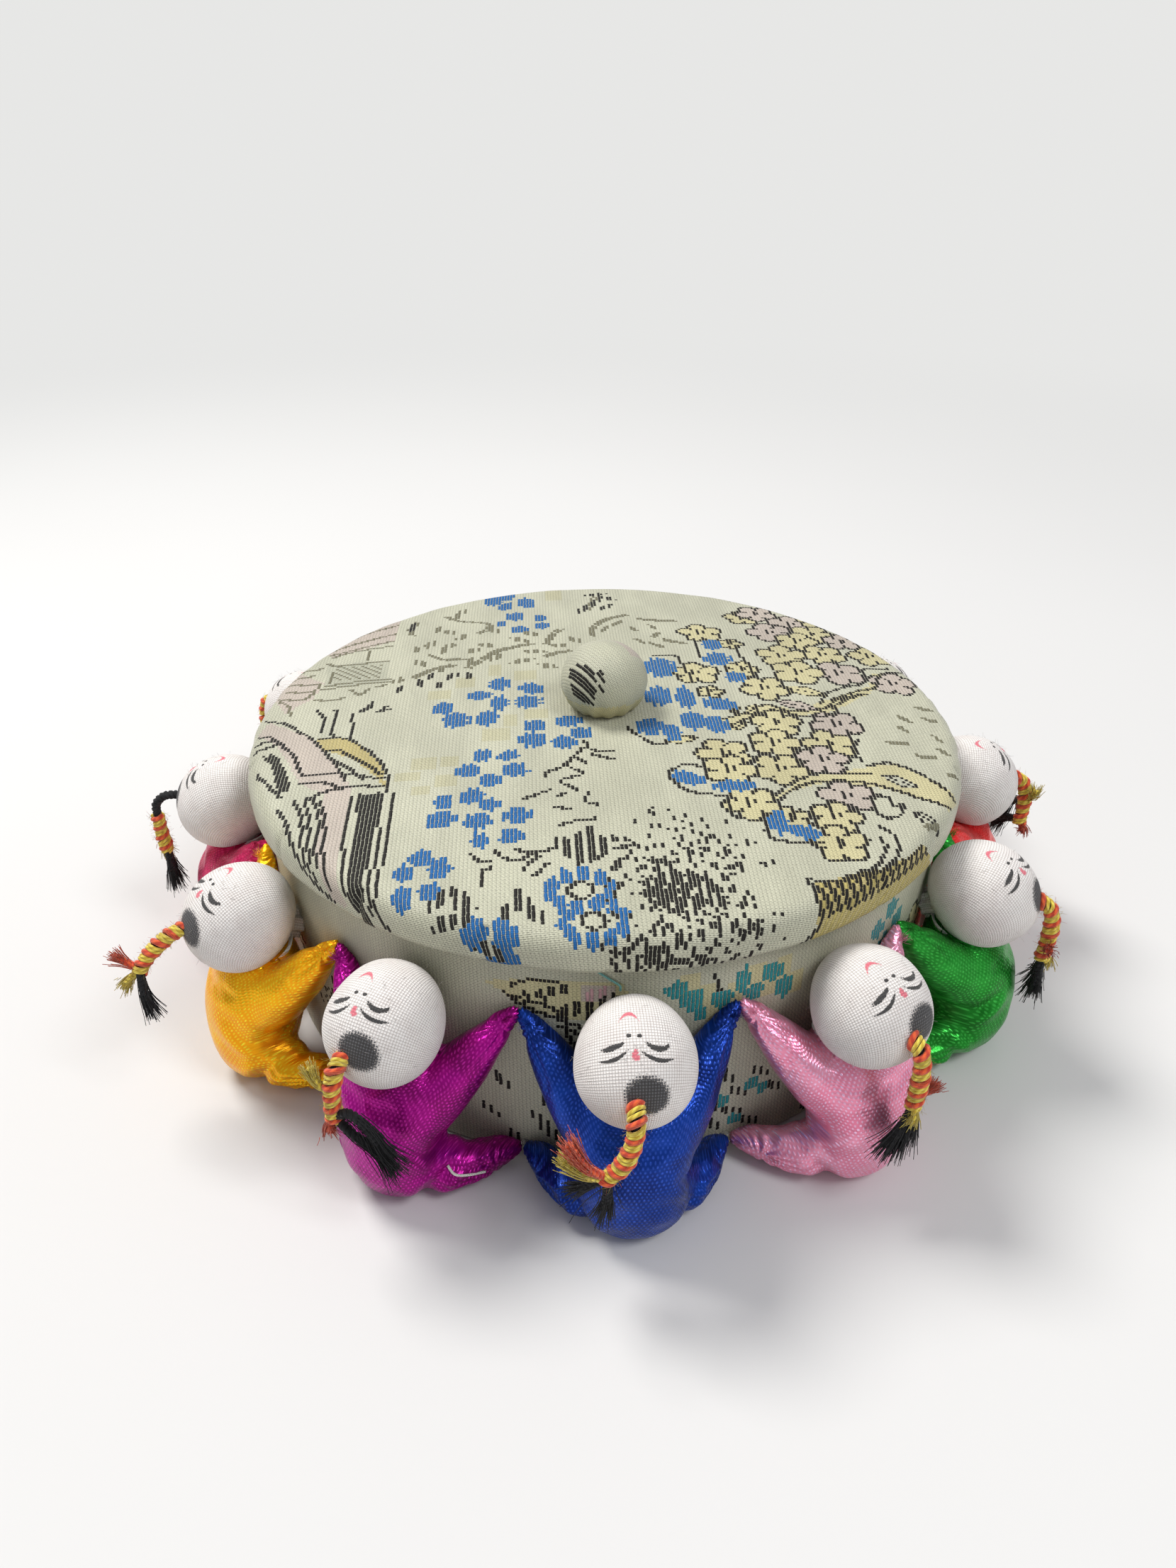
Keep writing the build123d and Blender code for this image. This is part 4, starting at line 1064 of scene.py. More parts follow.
def closeHole(thing):
    # one flat face across the open boundary
    work = bmesh.new()
    work.from_mesh(thing.data)
    bmesh.ops.edgeloop_fill(work, edges=[e for e in work.edges if e.is_boundary])
    work.to_mesh(thing.data)
    work.free()


# The lid

lid = dict(
    edgeRound=3.0, lowerRound=1.0, edgeHeight=6.0, underTurn=8.0,
    wave=0.22, waveLengths=(31, 17, 9), settled=0.15, pucker=0.10, puckers=11, puckerAt=9,
    # where the turned-down cloth is pleated: degrees round from the front
    pleats=[-3, 14, 37, 52, 71, 96, 118, 139, 171, 190, 214, 239, 262, 281, 303, 322, 341],
    pleatDepth=0.5, pleatWidth=0.75, rippleDepth=0.28, rippleLengths=(11, 6))


def lidProfile():
    # crown arc, edge arc, side and lower arc, then in under the lid: (radius, height) points
    top = lidHigh[2]
    low = lidLow[2]
    edge = low + lid["edgeHeight"] - lid["edgeRound"]
    run = lidRadius - lid["edgeRound"]
    rise = top - edge
    crown = (run ** 2 + rise ** 2 - lid["edgeRound"] ** 2) / (2 * (rise - lid["edgeRound"]))
    meet = math.atan2(edge - top + crown, run)
    small = lid["lowerRound"]
    arcs = []
    for middle, height, radius, start, end, count in (
            (0, top - crown, crown, math.pi / 2, meet, 60), (run, edge, lid["edgeRound"], meet, 0, 20),
            (lidRadius - small, low + small, small, 0, -math.pi / 2, 10)):
        a = np.linspace(start, end, count)
        arcs.append(np.stack([middle + radius * np.cos(a), height + radius * np.sin(a)], 1))
    return np.vstack(arcs + [[[lidRadius - small - lid["underTurn"], low]]])


def makeLid():
    canvas = lidPattern()
    s, angle, radius, height, quads, cells = cellPatch(canvas, lidProfile())
    points = polarPoints(radius, angle, height)
    rim = np.exp(-((s - lidRadius) / 5) ** 2)
    swell = smoothNoise(points, lid["waveLengths"], 4)
    spread = np.exp(-((s - lid["puckerAt"]) / 4) ** 2)
    puckers = np.cos(lid["puckers"] * angle + 1.2 * np.sin(3 * angle)) * spread
    top = np.clip((lidRadius - s) / 6, 0, 1)
    points[:, 2] += top * (lid["wave"] * swell - lid["settled"]) + lid["pucker"] * puckers
    ripple = lid["rippleDepth"] * smoothNoise(points, lid["rippleLengths"], 8) - 0.25
    for degrees in lid["pleats"]:
        off = np.angle(np.exp(1j * (angle + math.pi / 2 - math.radians(degrees)))) * lidRadius
        ripple = ripple - lid["pleatDepth"] * np.exp(-(off / lid["pleatWidth"]) ** 2) * (s > lidRadius - 1)
    points[:, :2] *= 1 + (rim * ripple / lidRadius)[:, None]
    thing = buildMesh("lidCloth", points, quads)
    paintCells(thing, canvas, *cells)
    closeHole(thing)
    place(thing, "lid", brocade, "brocade", "lid_brocade", "lid_padding")
    print("lid cloth", len(quads))


# The wall's strip of brocade

wall = dict(
    thickness=2.8, footTurn=6.0, rimTurn=7.0, corner=0.8, clothGap=0.4, wear=0.06,
    seamAt=-1.3, seamLap=13.0, lapThick=0.5,
    # the lapped end folds back to a point at its top, with its coloured edge thread
    foldDepth=3.6, foldSlope=1.24, threadRadius=0.17, threadOut=0.7, threadDown=0.9)


def seamLine(z):
    # how far right of the front the lapped end starts at a height
    return wall["seamAt"] - wall["foldSlope"] * np.clip(z - (wallTop - wall["foldDepth"]), 0, None)


def makeWall():
    # up the outside from under the foot, over the rim and down inside, and back behind the same way
    low = wallLow[2]
    outer = wallRadius
    inner = outer - wall["thickness"]
    r = wall["corner"]
    gap = wall["clothGap"]
    foot = outer - wall["footTurn"]
    hem = wallTop - wall["rimTurn"]
    path = np.vstack([
        curveThrough([(foot, low), (outer - r - 0.4, low), (outer - 0.2, low + 0.2),
                      (outer, low + r + 0.4)], 0.1),
        curveThrough([(outer, wallTop - r - 0.4), (outer - 0.2, wallTop - 0.2), (outer - r - 0.3, wallTop),
                      (inner + r, wallTop), (inner + 0.15, wallTop - 0.15), (inner, wallTop - r - 0.4),
                      (inner, hem)], 0.1)])
    back = np.array([(inner + gap, hem), (inner + gap, wallTop - gap), (outer - gap, wallTop - gap),
                     (outer - gap, low + gap), (foot, low + gap)])
    reach = lengthsAlong(path)
    around = 2 * math.pi * outer
    canvas = wallPattern(around, reach[-1])
    rows, columns = canvas.rows, canvas.columns
    at = np.linspace(0, reach[-1], rows + 1)
    radius, height = (np.concatenate([np.interp(at, reach, path[:, k]), back[:, k]]) for k in range(2))
    # x of the strip is 0 at the front and grows towards +X
    x = (np.arange(columns) - columns / 2) * around / columns
    angle = x / outer
    grid = radius[:, None] + np.zeros((1, columns))
    outside = (np.arange(len(radius)) <= rows)[:, None] & (radius > outer - 0.5)[:, None]
    z = height[:, None] + np.zeros((1, columns))
    past = x[None, :] - seamLine(z)
    lap = np.clip(past / 0.5, 0, 1) * np.clip(1 - past / wall["seamLap"], 0, 1)
    crease = smoothNoise(np.stack([np.broadcast_to(x, grid.shape), z, z * 0], -1), (13, 7), 9)
    grid = grid + np.where(outside, wall["lapThick"] * lap + wall["wear"] * crease - wall["wear"], 0)
    points = np.stack([grid * np.sin(angle)[None, :], -grid * np.cos(angle)[None, :], z], -1).reshape(-1, 3)
    quads = gridQuads(len(radius), columns, wrapRows=True, wrapColumns=True)
    thing = buildMesh("wallCloth", points, quads)
    row, column = np.divmod(np.arange(len(quads)), columns)
    paintCells(thing, canvas, np.minimum(row, rows - 1), column, cellCorners(row, column))
    place(thing, "box", brocade, "brocade", "wall_brocade")
    (around + wall["seamLap"] * 0.4) * mm
    at = np.linspace(wallTop - 0.5, wallTop - wall["foldDepth"] - wall["threadDown"], 12)
    turn = (seamLine(at) - 0.15) / outer
    out = outer + wall["lapThick"] * wall["threadOut"]
    line = np.stack([out * np.sin(turn), -out * np.cos(turn), at], 1)
    points, quads, tris, _ = tube(line, wall["threadRadius"], 8)
    place(buildMesh("seamThread", points, quads, tris), "box", edgeThread, "thread")
    print("wall cloth", columns * rows, round(reach[-1], 1))


# The knob and the floor pad

knob = dict(widest=4.8, foot=5.2, folds=14, foldDepth=0.22, foldsFrom=7, foldsOver=9, clothTurn=35, wave=0.12)


def makeKnob():
    # oval over the widest line, one arc down to the foot, then in under the ball
    low = knobLow[2]
    half = (knobHigh[0] - knobLow[0]) / 2
    upper = knobHigh[2] - low - knob["widest"]
    a = np.linspace(math.pi / 2, 0, 40)
    top = np.stack([half * np.cos(a) ** 0.92, low + knob["widest"] + upper * np.sin(a)], 1)
    step = half - knob["foot"]
    r = (step ** 2 + knob["widest"] ** 2) / (2 * step)
    a = np.linspace(0, -math.asin(knob["widest"] / r), 20)
    side = np.stack([half - r + r * np.cos(a), low + knob["widest"] + r * np.sin(a)], 1)
    profile = np.vstack([top, side, [[knob["foot"] * 0.6, low + 0.05]]])
    canvas = knobPattern()
    s, angle, radius, height, quads, cells = cellPatch(canvas, profile, 2)
    gather = np.clip((s - knob["foldsFrom"]) / knob["foldsOver"], 0, 1) ** 2
    folds = 1 + np.cos(knob["folds"] * angle + np.sin(2 * angle))
    radius = radius - knob["foldDepth"] * gather * folds
    points = polarPoints(radius, angle + math.radians(knob["clothTurn"]), height)
    points[:, 2] += knob["wave"] * smoothNoise(points, (9, 5), 3) * np.clip(1 - s / 14, 0, 1)
    thing = buildMesh("knobCloth", points, quads)
    paintCells(thing, canvas, *cells)
    closeHole(thing)
    place(thing, "lid", brocade, "brocade", "knob_cover")


floorPad = dict(spokes=180, crown=0.48, inset=0.1, wave=0.1)


def makeFloorPad():
    # crowned disc with a rolled edge
    low, high = nodeBox("floor_pad")
    outer = (high[0] - low[0]) / 2
    middle = high[2] - floorPad["inset"]
    t = np.linspace(0, 1, 40)
    top = np.stack([outer * t, middle - (high[2] - low[2]) * floorPad["crown"] * t ** 4], 1)
    a = np.linspace(math.pi / 2, -math.pi / 2, 9)[1:]
    roll = (top[-1, 1] - low[2]) / 2
    edge = np.stack([outer - roll * 0.6 + roll * 0.6 * np.cos(a), low[2] + roll + roll * np.sin(a)], 1)
    profile = np.vstack([top[1:-1], edge])
    spokes = floorPad["spokes"]
    angle = np.tile(np.linspace(0, 2 * math.pi, spokes, endpoint=False), len(profile))
    radius, height = np.repeat(profile, spokes, axis=0).T
    points = polarPoints(radius, angle, height)
    points[:, 2] += floorPad["wave"] * smoothNoise(points, (23, 12), 6) * (points[:, 2] > low[2] + 0.5)
    points = np.vstack([points, [[0, 0, middle]], [[0, 0, low[2]]]])
    quads, tris = closedRings(len(profile), spokes)
    thing = buildMesh("floorCushion", points, quads[:, ::-1], tris[:, ::-1])
    place(thing, "box", liningCloth, "lining_cloth", "floor_pad")


makeLid()
makeWall()
makeKnob()
makeFloorPad()

# The dolls

satins = dict(
    # colour, and the deeper colour laid over it in soft random patches
    blue=((0.006, 0.050, 0.36), (0.003, 0.020, 0.17)),
    pink=((0.96, 0.40, 0.56), (0.88, 0.25, 0.40)),
    green=((0.022, 0.34, 0.035), (0.008, 0.19, 0.014)),
    red=((0.80, 0.02, 0.02), (0.52, 0.01, 0.012)),
    yellow=((0.98, 0.47, 0.004), (0.89, 0.33, 0.002)),
    orange=((0.95, 0.30, 0.04), (0.75, 0.15, 0.015)),
    crimson=((0.68, 0.010, 0.12), (0.40, 0.004, 0.055)),
    purple=((0.43, 0.002, 0.27), (0.23, 0.001, 0.13)))
dollColours = [
    "blue", "pink", "green", "red", "yellow", "blue",
    "pink", "green", "orange", "crimson", "yellow", "purple"]
head = dict(
    halfLength=9.0, halfWidth=8.4, taper=0.05, lumps=0.16, tilt=35, faceAt=57, rings=64, spokes=96,
    # the cloth is gathered behind, towards the neck
    neckWay=(0, 0.75, -0.66), gatherFrom=0.72, gatherDepth=0.25, gathers=13, clothReach=8.6,
    neckFrom=(0, 5.0, -3.6), neckDrop=5.2, neckWidth=3.0, neckSides=48,
    hairs=90, hairLength=0.9, hairRadius=0.018,
    # for each doll: roll of the face in degrees, face shift sideways in mm
    faces=[
        (2, 0.1), (-6, 0.3), (5, -0.2), (-3, 0.4), (4, 0), (-5, 0.2), (0, 0), (6, -0.3), (-4, 0.2),
        (5, 0.1), (-2, 0.3), (-7, 0)])
crownWay = np.array([0, -math.cos(math.radians(head["tilt"])), -math.sin(math.radians(head["tilt"]))])


def headSurface(seed):
    # egg round its tilted long axis, as a polar grid about the middle of the face
    rings, spokes = head["rings"], head["spokes"]
    polar = np.linspace(0, math.pi, rings + 1)[1:-1, None]
    azimuth = np.linspace(0, 2 * math.pi, spokes, endpoint=False)[None, :]
    e = math.radians(head["faceAt"])
    facing = np.array([0, -math.cos(e), math.sin(e)])
    chinward = np.array([0, math.sin(e), math.cos(e)])
    sideways = np.array([1.0, 0, 0])
    ways = (np.cos(polar)[..., None] * facing + np.sin(polar)[..., None]
            * (np.cos(azimuth)[..., None] * sideways + np.sin(azimuth)[..., None] * chinward))
    ways = np.vstack([ways.reshape(-1, 3), facing[None], -facing[None]])
    along = ways @ crownWay
    across = np.sqrt(1 - along ** 2)
    width = head["halfWidth"] * (1 + head["taper"] * along)
    size = 1 / np.sqrt((along / head["halfLength"]) ** 2 + (across / width) ** 2)
    size = size + head["lumps"] * smoothNoise(ways * 9, (13, 8), seed)
    neck = np.array(head["neckWay"])
    near = np.clip(ways @ neck, 0, 1)
    gather = np.clip((near - head["gatherFrom"]) / (1 - head["gatherFrom"]), 0, 1)
    swirl = np.arctan2(ways[:, 0], ways @ np.cross(neck, sideways))
    deep = head["gatherDepth"]
    size = size - gather * (deep + deep * np.cos(head["gathers"] * swirl))
    arc = np.concatenate([np.repeat(polar.ravel(), spokes), [0, math.pi]]) * head["clothReach"]
    turn = np.concatenate([np.tile(azimuth.ravel(), rings - 1), [0, 0]])
    flat = np.stack([arc * np.cos(turn), arc * np.sin(turn)], 1)
    return (headCentre + ways * size[:, None], *closedRings(rings - 1, spokes), flat)


def neckTail(seed):
    # the head's cloth, gathered and glued to the wall behind it
    start = headCentre + np.array(head["neckFrom"])
    end = np.array([0.0, -wallRadius - 0.3, headCentre[2] - head["neckDrop"]])
    line = curveThrough([start, (start + end) / 2 + [0, 0, 0.3], end], 0.25)
    reach = np.linspace(0, 1, len(line))
    width = head["neckWidth"] - 1.2 * reach + 0.5 * reach ** 4
    sides = head["neckSides"]
    points, quads, tris, _ = tube(line, 1.0, sides)
    a = np.tile(np.arange(sides) * 2 * math.pi / sides, len(line))
    size = np.repeat(width, sides) * (1 + 0.13 * np.cos(9 * a + seed))
    middle = np.repeat(line, sides, axis=0)
    points[:-2] = middle + (points[:-2] - middle) * size[:, None]
    flat = np.vstack([np.stack([a * 2.5, np.repeat(reach, sides) * 6], 1), np.zeros((2, 2))])
    return points, quads, tris, flat


def fuzz(points, normals, count, length, seed):
    # short loose hairs that stand off a surface
    rng = np.random.default_rng(seed)
    parts = []
    for i in rng.integers(0, len(points), count):
        own = normals[i] * 0.6 + rng.normal(size=3) * 0.7
        own /= np.linalg.norm(own)
        t = np.linspace(0, 1, 4)[:, None]
        line = points[i] + own * t * length * rng.uniform(0.5, 1.2) + rng.normal(size=3) * 0.15 * t ** 2
        parts.append(tube(line, head["hairRadius"], 3))
    return parts


def makeHead(index, name):
    surface = headSurface(index + 40)
    points, _, _, flat = surface
    roll, shift = head["faces"][index]
    a = math.radians(roll)
    face = np.stack([flat[:, 0] * math.cos(a) - flat[:, 1] * math.sin(a) - shift,
                     flat[:, 0] * math.sin(a) + flat[:, 1] * math.cos(a)], 1)
    out = (points - headCentre) / 8.5
    hairs = fuzz(points, out, head["hairs"], head["hairLength"], index)
    count = len(points)
    points, quads, tris, flat = joinParts([surface, neckTail(index)] + hairs)
    # nothing is painted on the neck and the hairs, which lie far from the face
    faces = np.full((len(points), 2), 40.0)
    faces[:count] = face
    thing = buildMesh(name + "HeadCloth", atDoll(points, index), quads, tris)
    setUv(thing, "cloth", flat + index)
    setUv(thing, "face", faces)
    place(thing, "box", headCotton, "head_cotton", f"doll_{index + 1:02d}_head")


body = dict(
    step=0.8, sides=28, voxel=0.56, scale=10.0, soften=9, frames=15, pressure=3.0, heldFrom=12.6,
    stretch=40, shear=10, bending=0.08, slack=-0.035, cap=1.0, settle=4,
    cover=0.22, coverReach=1.0, dents=0.14,
    # height, distance from the axis, half width and half depth
    torso=[(0.5, 69.4, 3.0, 2.2), (1.6, 69.6, 5.2, 4.2), (4.5, 69.6, 7.0, 6.0), (9, 69.3, 7.9, 7.0),
           (14, 68.8, 8.2, 7.3), (19, 67.9, 8.4, 6.9), (23, 66.6, 7.4, 5.6), (25.5, 65.4, 5.4, 3.8)],
    # from and to (sideways, height), width and depth of each crease
    creases=[(5.2, 0.6, 9.8, 8.0, 0.95, 0.85), (9.4, 7.6, 12.6, 6.2, 0.8, 0.35),
             (6.2, 13.5, 9.6, 9.0, 0.9, 0.45), (4.6, 17.0, 9.0, 13.0, 1.1, 0.25),
             (7.6, 2.0, 11.6, 4.2, 0.9, 0.25), (1.0, 5.0, 4.6, 2.6, 1.1, 0.15),
             (2.0, 12.0, 5.5, 9.0, 1.2, 0.15), (9.0, 20.5, 12.4, 25.5, 1.0, 0.10),
             (7.5, 21.0, 11.0, 27.0, 1.0, 0.10)],
    # sideways place, height and number of the gathers at hand and foot
    gathers=[(14.4, 30.4, 9), (14.2, 3.8, 8)], gatherDepth=0.20, gatherReach=5.5,
    # how far the skin keeps off the wall and off the table, and how deep a head may press into it
    clear=0.12, headPress=0.99,
    # sideways, distance from the wall, height and radius along each limb
    arm=[(3.0, 8.2, 14.0, 5.2), (6.0, 6.9, 18.5, 5.0), (9.2, 4.7, 22.8, 4.0), (11.8, 3.0, 26.3, 2.9),
         (13.6, 1.8, 29.0, 1.8), (15.0, 1.3, 30.8, 1.2), (15.9, 1.0, 31.4, 0.8)],
    leg=[(3.5, 9.2, 6.4, 4.6), (7.2, 8.2, 4.9, 4.1), (10.4, 5.9, 4.2, 3.2), (12.8, 3.3, 3.9, 2.4),
         (14.6, 1.8, 3.8, 1.5), (15.5, 1.3, 3.7, 1.0)],
)


def ovalSections(centres, halfWidths, halfDepths, across, deep):
    # stacked ovals, closed at both ends by a point
    sides = body["sides"]
    a = np.arange(sides) * 2 * math.pi / sides
    ring = (np.cos(a)[None, :, None] * (across * halfWidths[:, None])[:, None]
            + np.sin(a)[None, :, None] * (deep * halfDepths[:, None])[:, None])
    points = np.vstack([(centres[:, None] + ring).reshape(-1, 3), centres[:1], centres[-1:]])
    return (points, *closedRings(len(centres), sides), np.zeros((len(points), 2)))


def limbSections(rows, side):
    # a limb's line follows the round wall: its distance is counted from the wall's face
    line = curveThrough(rows, body["step"])
    x = line[:, 0] * side
    y = -np.sqrt((wallRadius + line[:, 1]) ** 2 - x ** 2)
    centres = np.stack([x, y, line[:, 2]], 1)
    return ovalSections(centres, line[:, 3], line[:, 3], *frameAlong(centres))


def bakeModifiers(thing):
    graph = bpy.context.evaluated_depsgraph_get()
    mesh = bpy.data.meshes.new_from_object(thing.evaluated_get(graph))
    thing.modifiers.clear()
    thing.data = mesh


def addModifier(thing, name, kind, **settings):
    modifier = thing.modifiers.new(name, kind)
    for key, value in settings.items():
        setattr(modifier, key, value)
    return modifier


def inflate(thing):
    # cloth under pressure with its hands and feet held, at ten times its size
    scene = bpy.context.scene
    start = readPoints(thing.data)
    size = body["scale"] * mm
    held = np.abs(start[:, 0]) > body["heldFrom"] * size
    group = thing.vertex_groups.new(name="held")
    group.add([int(i) for i in np.nonzero(held)[0]], 1.0, "REPLACE")
    cloth = addModifier(thing, "cloth", "CLOTH")
    for key, value in dict(
            use_pressure=True, uniform_pressure_force=body["pressure"], quality=5,
            tension_stiffness=body["stretch"], compression_stiffness=body["stretch"],
            shear_stiffness=body["shear"], bending_stiffness=body["bending"], shrink_min=body["slack"],
            vertex_group_mass="held").items():
        setattr(cloth.settings, key, value)
    cloth.settings.effector_weights.gravity = 0
    cloth.point_cache.frame_start = 1
    cloth.point_cache.frame_end = body["frames"] + 1
    for step in range(1, body["frames"] + 1):
        scene.frame_set(step)
    bakeModifiers(thing)
    scene.frame_set(1)
    # no point moves further than the cap
    moved = readPoints(thing.data) - start
    far = np.linalg.norm(moved, axis=1)[:, None]
    moved *= np.minimum(1, body["cap"] * size / np.maximum(far, 1e-9))
    thing.data.vertices.foreach_set("co", (start + moved).ravel())


def bodyMesh(seed, mirror):
    # torso and limbs as one skin: voxel remesh, a short inflation of the cloth, then folds and dents
    rows = curveThrough(body["torso"], body["step"])
    centres = np.stack([rows[:, 0] * 0, -rows[:, 1], rows[:, 0]], 1)
    across = np.tile([1.0, 0, 0], (len(rows), 1))
    deep = np.tile([0, 1.0, 0], (len(rows), 1))
    parts = [ovalSections(centres, rows[:, 2], rows[:, 3], across, deep)]
    parts += [limbSections(body[limb], side) for side in (-1, 1) for limb in ("arm", "leg")]
    points, quads, tris, _ = joinParts(parts)
    thing = buildMesh("bodyForm", points * body["scale"], quads, tris)
    addModifier(thing, "skin", "REMESH", mode="VOXEL", voxel_size=body["voxel"] * body["scale"] * mm)
    addModifier(thing, "soften", "SMOOTH", factor=0.5, iterations=body["soften"])
    bakeModifiers(thing)
    inflate(thing)
    addModifier(thing, "settle", "SMOOTH", factor=0.5, iterations=body["settle"])
    addModifier(thing, "finer", "SUBSURF", levels=1, render_levels=1)
    bakeModifiers(thing)
    points = readPoints(thing.data) / mm / body["scale"]
    normals = readPoints(thing.data, "normal")
    quads = readCorners(thing.data).reshape(-1, 4)
    bpy.data.objects.remove(thing)
    points = coverFilling(puckered(points.astype(float), normals, seed), quads)
    if mirror:
        points[:, 0] *= -1
        quads = quads[:, ::-1]
    return points, quads


def coverFilling(points, quads):
    # the skin doesn't sink into the filling; a point that this would carry far stays where it is
    thing = buildMesh("bodyCover", points, quads)
    addModifier(thing, "cover", "SHRINKWRAP", target=nodes["torso_fillings"], offset=body["cover"] * mm,
                wrap_method="NEAREST_SURFACEPOINT", wrap_mode="OUTSIDE")
    bakeModifiers(thing)
    covered = readPoints(thing.data).astype(float) / mm
    bpy.data.objects.remove(thing)
    far = np.linalg.norm(covered - points, axis=1)[:, None]
    return np.where(far > body["coverReach"], points, covered)


def puckered(points, normals, seed):
    # soft dents, gathers that run out from each hand and foot, and creases down the front
    x, y, z = points.T
    reach = np.abs(x)
    push = body["dents"] * smoothNoise(points, (9, 5.5), seed)
    for tipX, tipZ, count in body["gathers"]:
        dx = tipX - reach
        dz = z - tipZ
        far = np.hypot(dx, dz)
        angle = np.arctan2(dz, dx)
        fade = np.exp(-(far / body["gatherReach"]) ** 2) * np.clip(far / 1.5, 0, 1)
        push += body["gatherDepth"] * fade * np.cos(count * 2 * angle + seed + 2.0 * np.sin(y * 0.8))
    jitter = np.random.default_rng(seed).normal(size=(len(body["creases"]), 2, 2)) * 0.7
    front = np.clip((-y - 62.5) / 2.5, 0, 1) * np.clip(z / 3.0, 0.25, 1)
    for k, (fromX, fromZ, toX, toZ, width, depth) in enumerate(body["creases"]):
        for side in (0, 1):
            a = np.array([fromX, fromZ]) + jitter[k, side] * 0.6
            b = np.array([toX, toZ]) + jitter[k, side]
            run = b - a
            share = np.clip(((reach - a[0]) * run[0] + (z - a[1]) * run[1]) / (run @ run), 0, 1)
            away = np.hypot(reach - a[0] - share * run[0], z - a[1] - share * run[1])
            mine = (x > 0) == (side == 1)
            fold = np.exp(-(away / width) ** 2) - 0.45 * np.exp(-((away - 2.0 * width) / width) ** 2)
            push -= depth * fold * mine * front * np.sqrt(np.clip(4 * share * (1 - share), 0.15, 1))
    points = points + normals * push[:, None]
    # stay off the wall, off the table and out of the head
    far = np.hypot(points[:, 0], points[:, 1])
    points[:, :2] *= (np.maximum(far, wallRadius + body["clear"]) / far)[:, None]
    points[:, 2] = np.maximum(points[:, 2], body["clear"])
    away = points - headCentre
    along = away @ crownWay
    across = away - along[:, None] * crownWay
    size = np.sqrt((along / head["halfLength"]) ** 2 + (across ** 2).sum(1) / head["halfWidth"] ** 2)
    inside = size < body["headPress"]
    points[inside] = headCentre + away[inside] * (body["headPress"] / size[inside])[:, None]
    return points


clothMap = dict(step=0.5, halfWidth=17, low=-0.5, high=34, fill=60, blur=16, steepest=1.6)


def clothCoordinates(points):
    # flat cloth position: lengths along the front surface, sideways and upwards, from a height map
    step = clothMap["step"]
    columns = int(2 * clothMap["halfWidth"] / step) + 1
    rows = int((clothMap["high"] - clothMap["low"]) / step) + 1
    across = (points[:, 0] + clothMap["halfWidth"]) / step
    upward = (points[:, 2] - clothMap["low"]) / step
    column = np.clip(across.round().astype(int), 0, columns - 1)
    row = np.clip(upward.round().astype(int), 0, rows - 1)
    front = np.zeros((rows, columns))
    np.minimum.at(front, (row, column), points[:, 1])
    known = (front < 0).astype(float)

    def beside(field):
        wide = np.pad(field, 1, mode="edge")
        return wide[:-2, 1:-1] + wide[2:, 1:-1] + wide[1:-1, :-2] + wide[1:-1, 2:]

    for _ in range(clothMap["fill"]):
        count = beside(known)
        empty = (known == 0) & (count > 0)
        front = np.where(empty, beside(front * known) / np.maximum(count, 1), front)
        known = np.maximum(known, empty)
    for _ in range(clothMap["blur"]):
        front = (front * 4 + beside(front)) / 8
    steepest = clothMap["steepest"]
    slopeX, slopeZ = (np.clip(np.gradient(front, step, axis=k), -steepest, steepest) for k in (1, 0))
    u = np.cumsum(np.sqrt(1 + slopeX ** 2), axis=1) * step
    u -= u[:, columns // 2][:, None]
    v = np.cumsum(np.sqrt(1 + slopeZ ** 2), axis=0) * step
    fx = np.clip(across, 0, columns - 1.001)
    fz = np.clip(upward, 0, rows - 1.001)
    i, j = fx.astype(int), fz.astype(int)
    a, b = fx - i, fz - j

    def sample(field):
        return ((field[j, i] * (1 - a) + field[j, i + 1] * a) * (1 - b)
                + (field[j + 1, i] * (1 - a) + field[j + 1, i + 1] * a) * b)

    return np.stack([sample(u), sample(v)], 1)


forms = [bodyMesh(seed, mirror) for seed, mirror in ((1, False), (2, True), (3, False))]
formUvs = [clothCoordinates(points) for points, _ in forms]
satinMaterials = {name: satinMaterial(name.capitalize(), *pair) for name, pair in satins.items()}
print("body forms", [len(p) for p, _ in forms])


raw = dict(
    # sideways, distance from the wall and height of the satin's frayed ends at hand and foot
    tips=[(15.2, 1.2, 31.0), (14.3, 1.8, 3.9)],
    inside=0.8, length=1.7, count=26, spread=0.42, radius=0.035, curl=0.35, lowest=0.15)


def tuft(start, way, seed):
    # loose fibres that leave one place and spread
    rng = np.random.default_rng(seed)
    parts = []
    steps = np.linspace(0, 1, 6)[:, None]
    for _ in range(raw["count"]):
        own = way + rng.normal(size=3) * raw["spread"]
        own /= np.linalg.norm(own)
        offset = rng.normal(size=3) * raw["radius"] * 6
        size = raw["length"] * rng.uniform(0.6, 1.05)
        curl = rng.normal(size=3) * raw["curl"] * size * 0.25 * steps ** 2
        line = start + offset + own * steps * size + curl
        line[:, 2] = np.maximum(line[:, 2], raw["lowest"])
        parts.append(tube(line, raw["radius"] * (1 - 0.6 * steps[:, 0]), 3))
    return parts


def rawThreads(seed):
    # frayed ends of the satin at each hand and foot
    parts = []
    places = [(side * x, -wallRadius - off, z) for x, off, z in raw["tips"] for side in (-1, 1)]
    for k, tip in enumerate(places):
        out = np.array([np.sign(tip[0]), -0.1, 0.5 if tip[2] > 15 else 0.0])
        parts += tuft(np.array(tip) - out * raw["inside"], out, seed * 7 + k)
    return parts


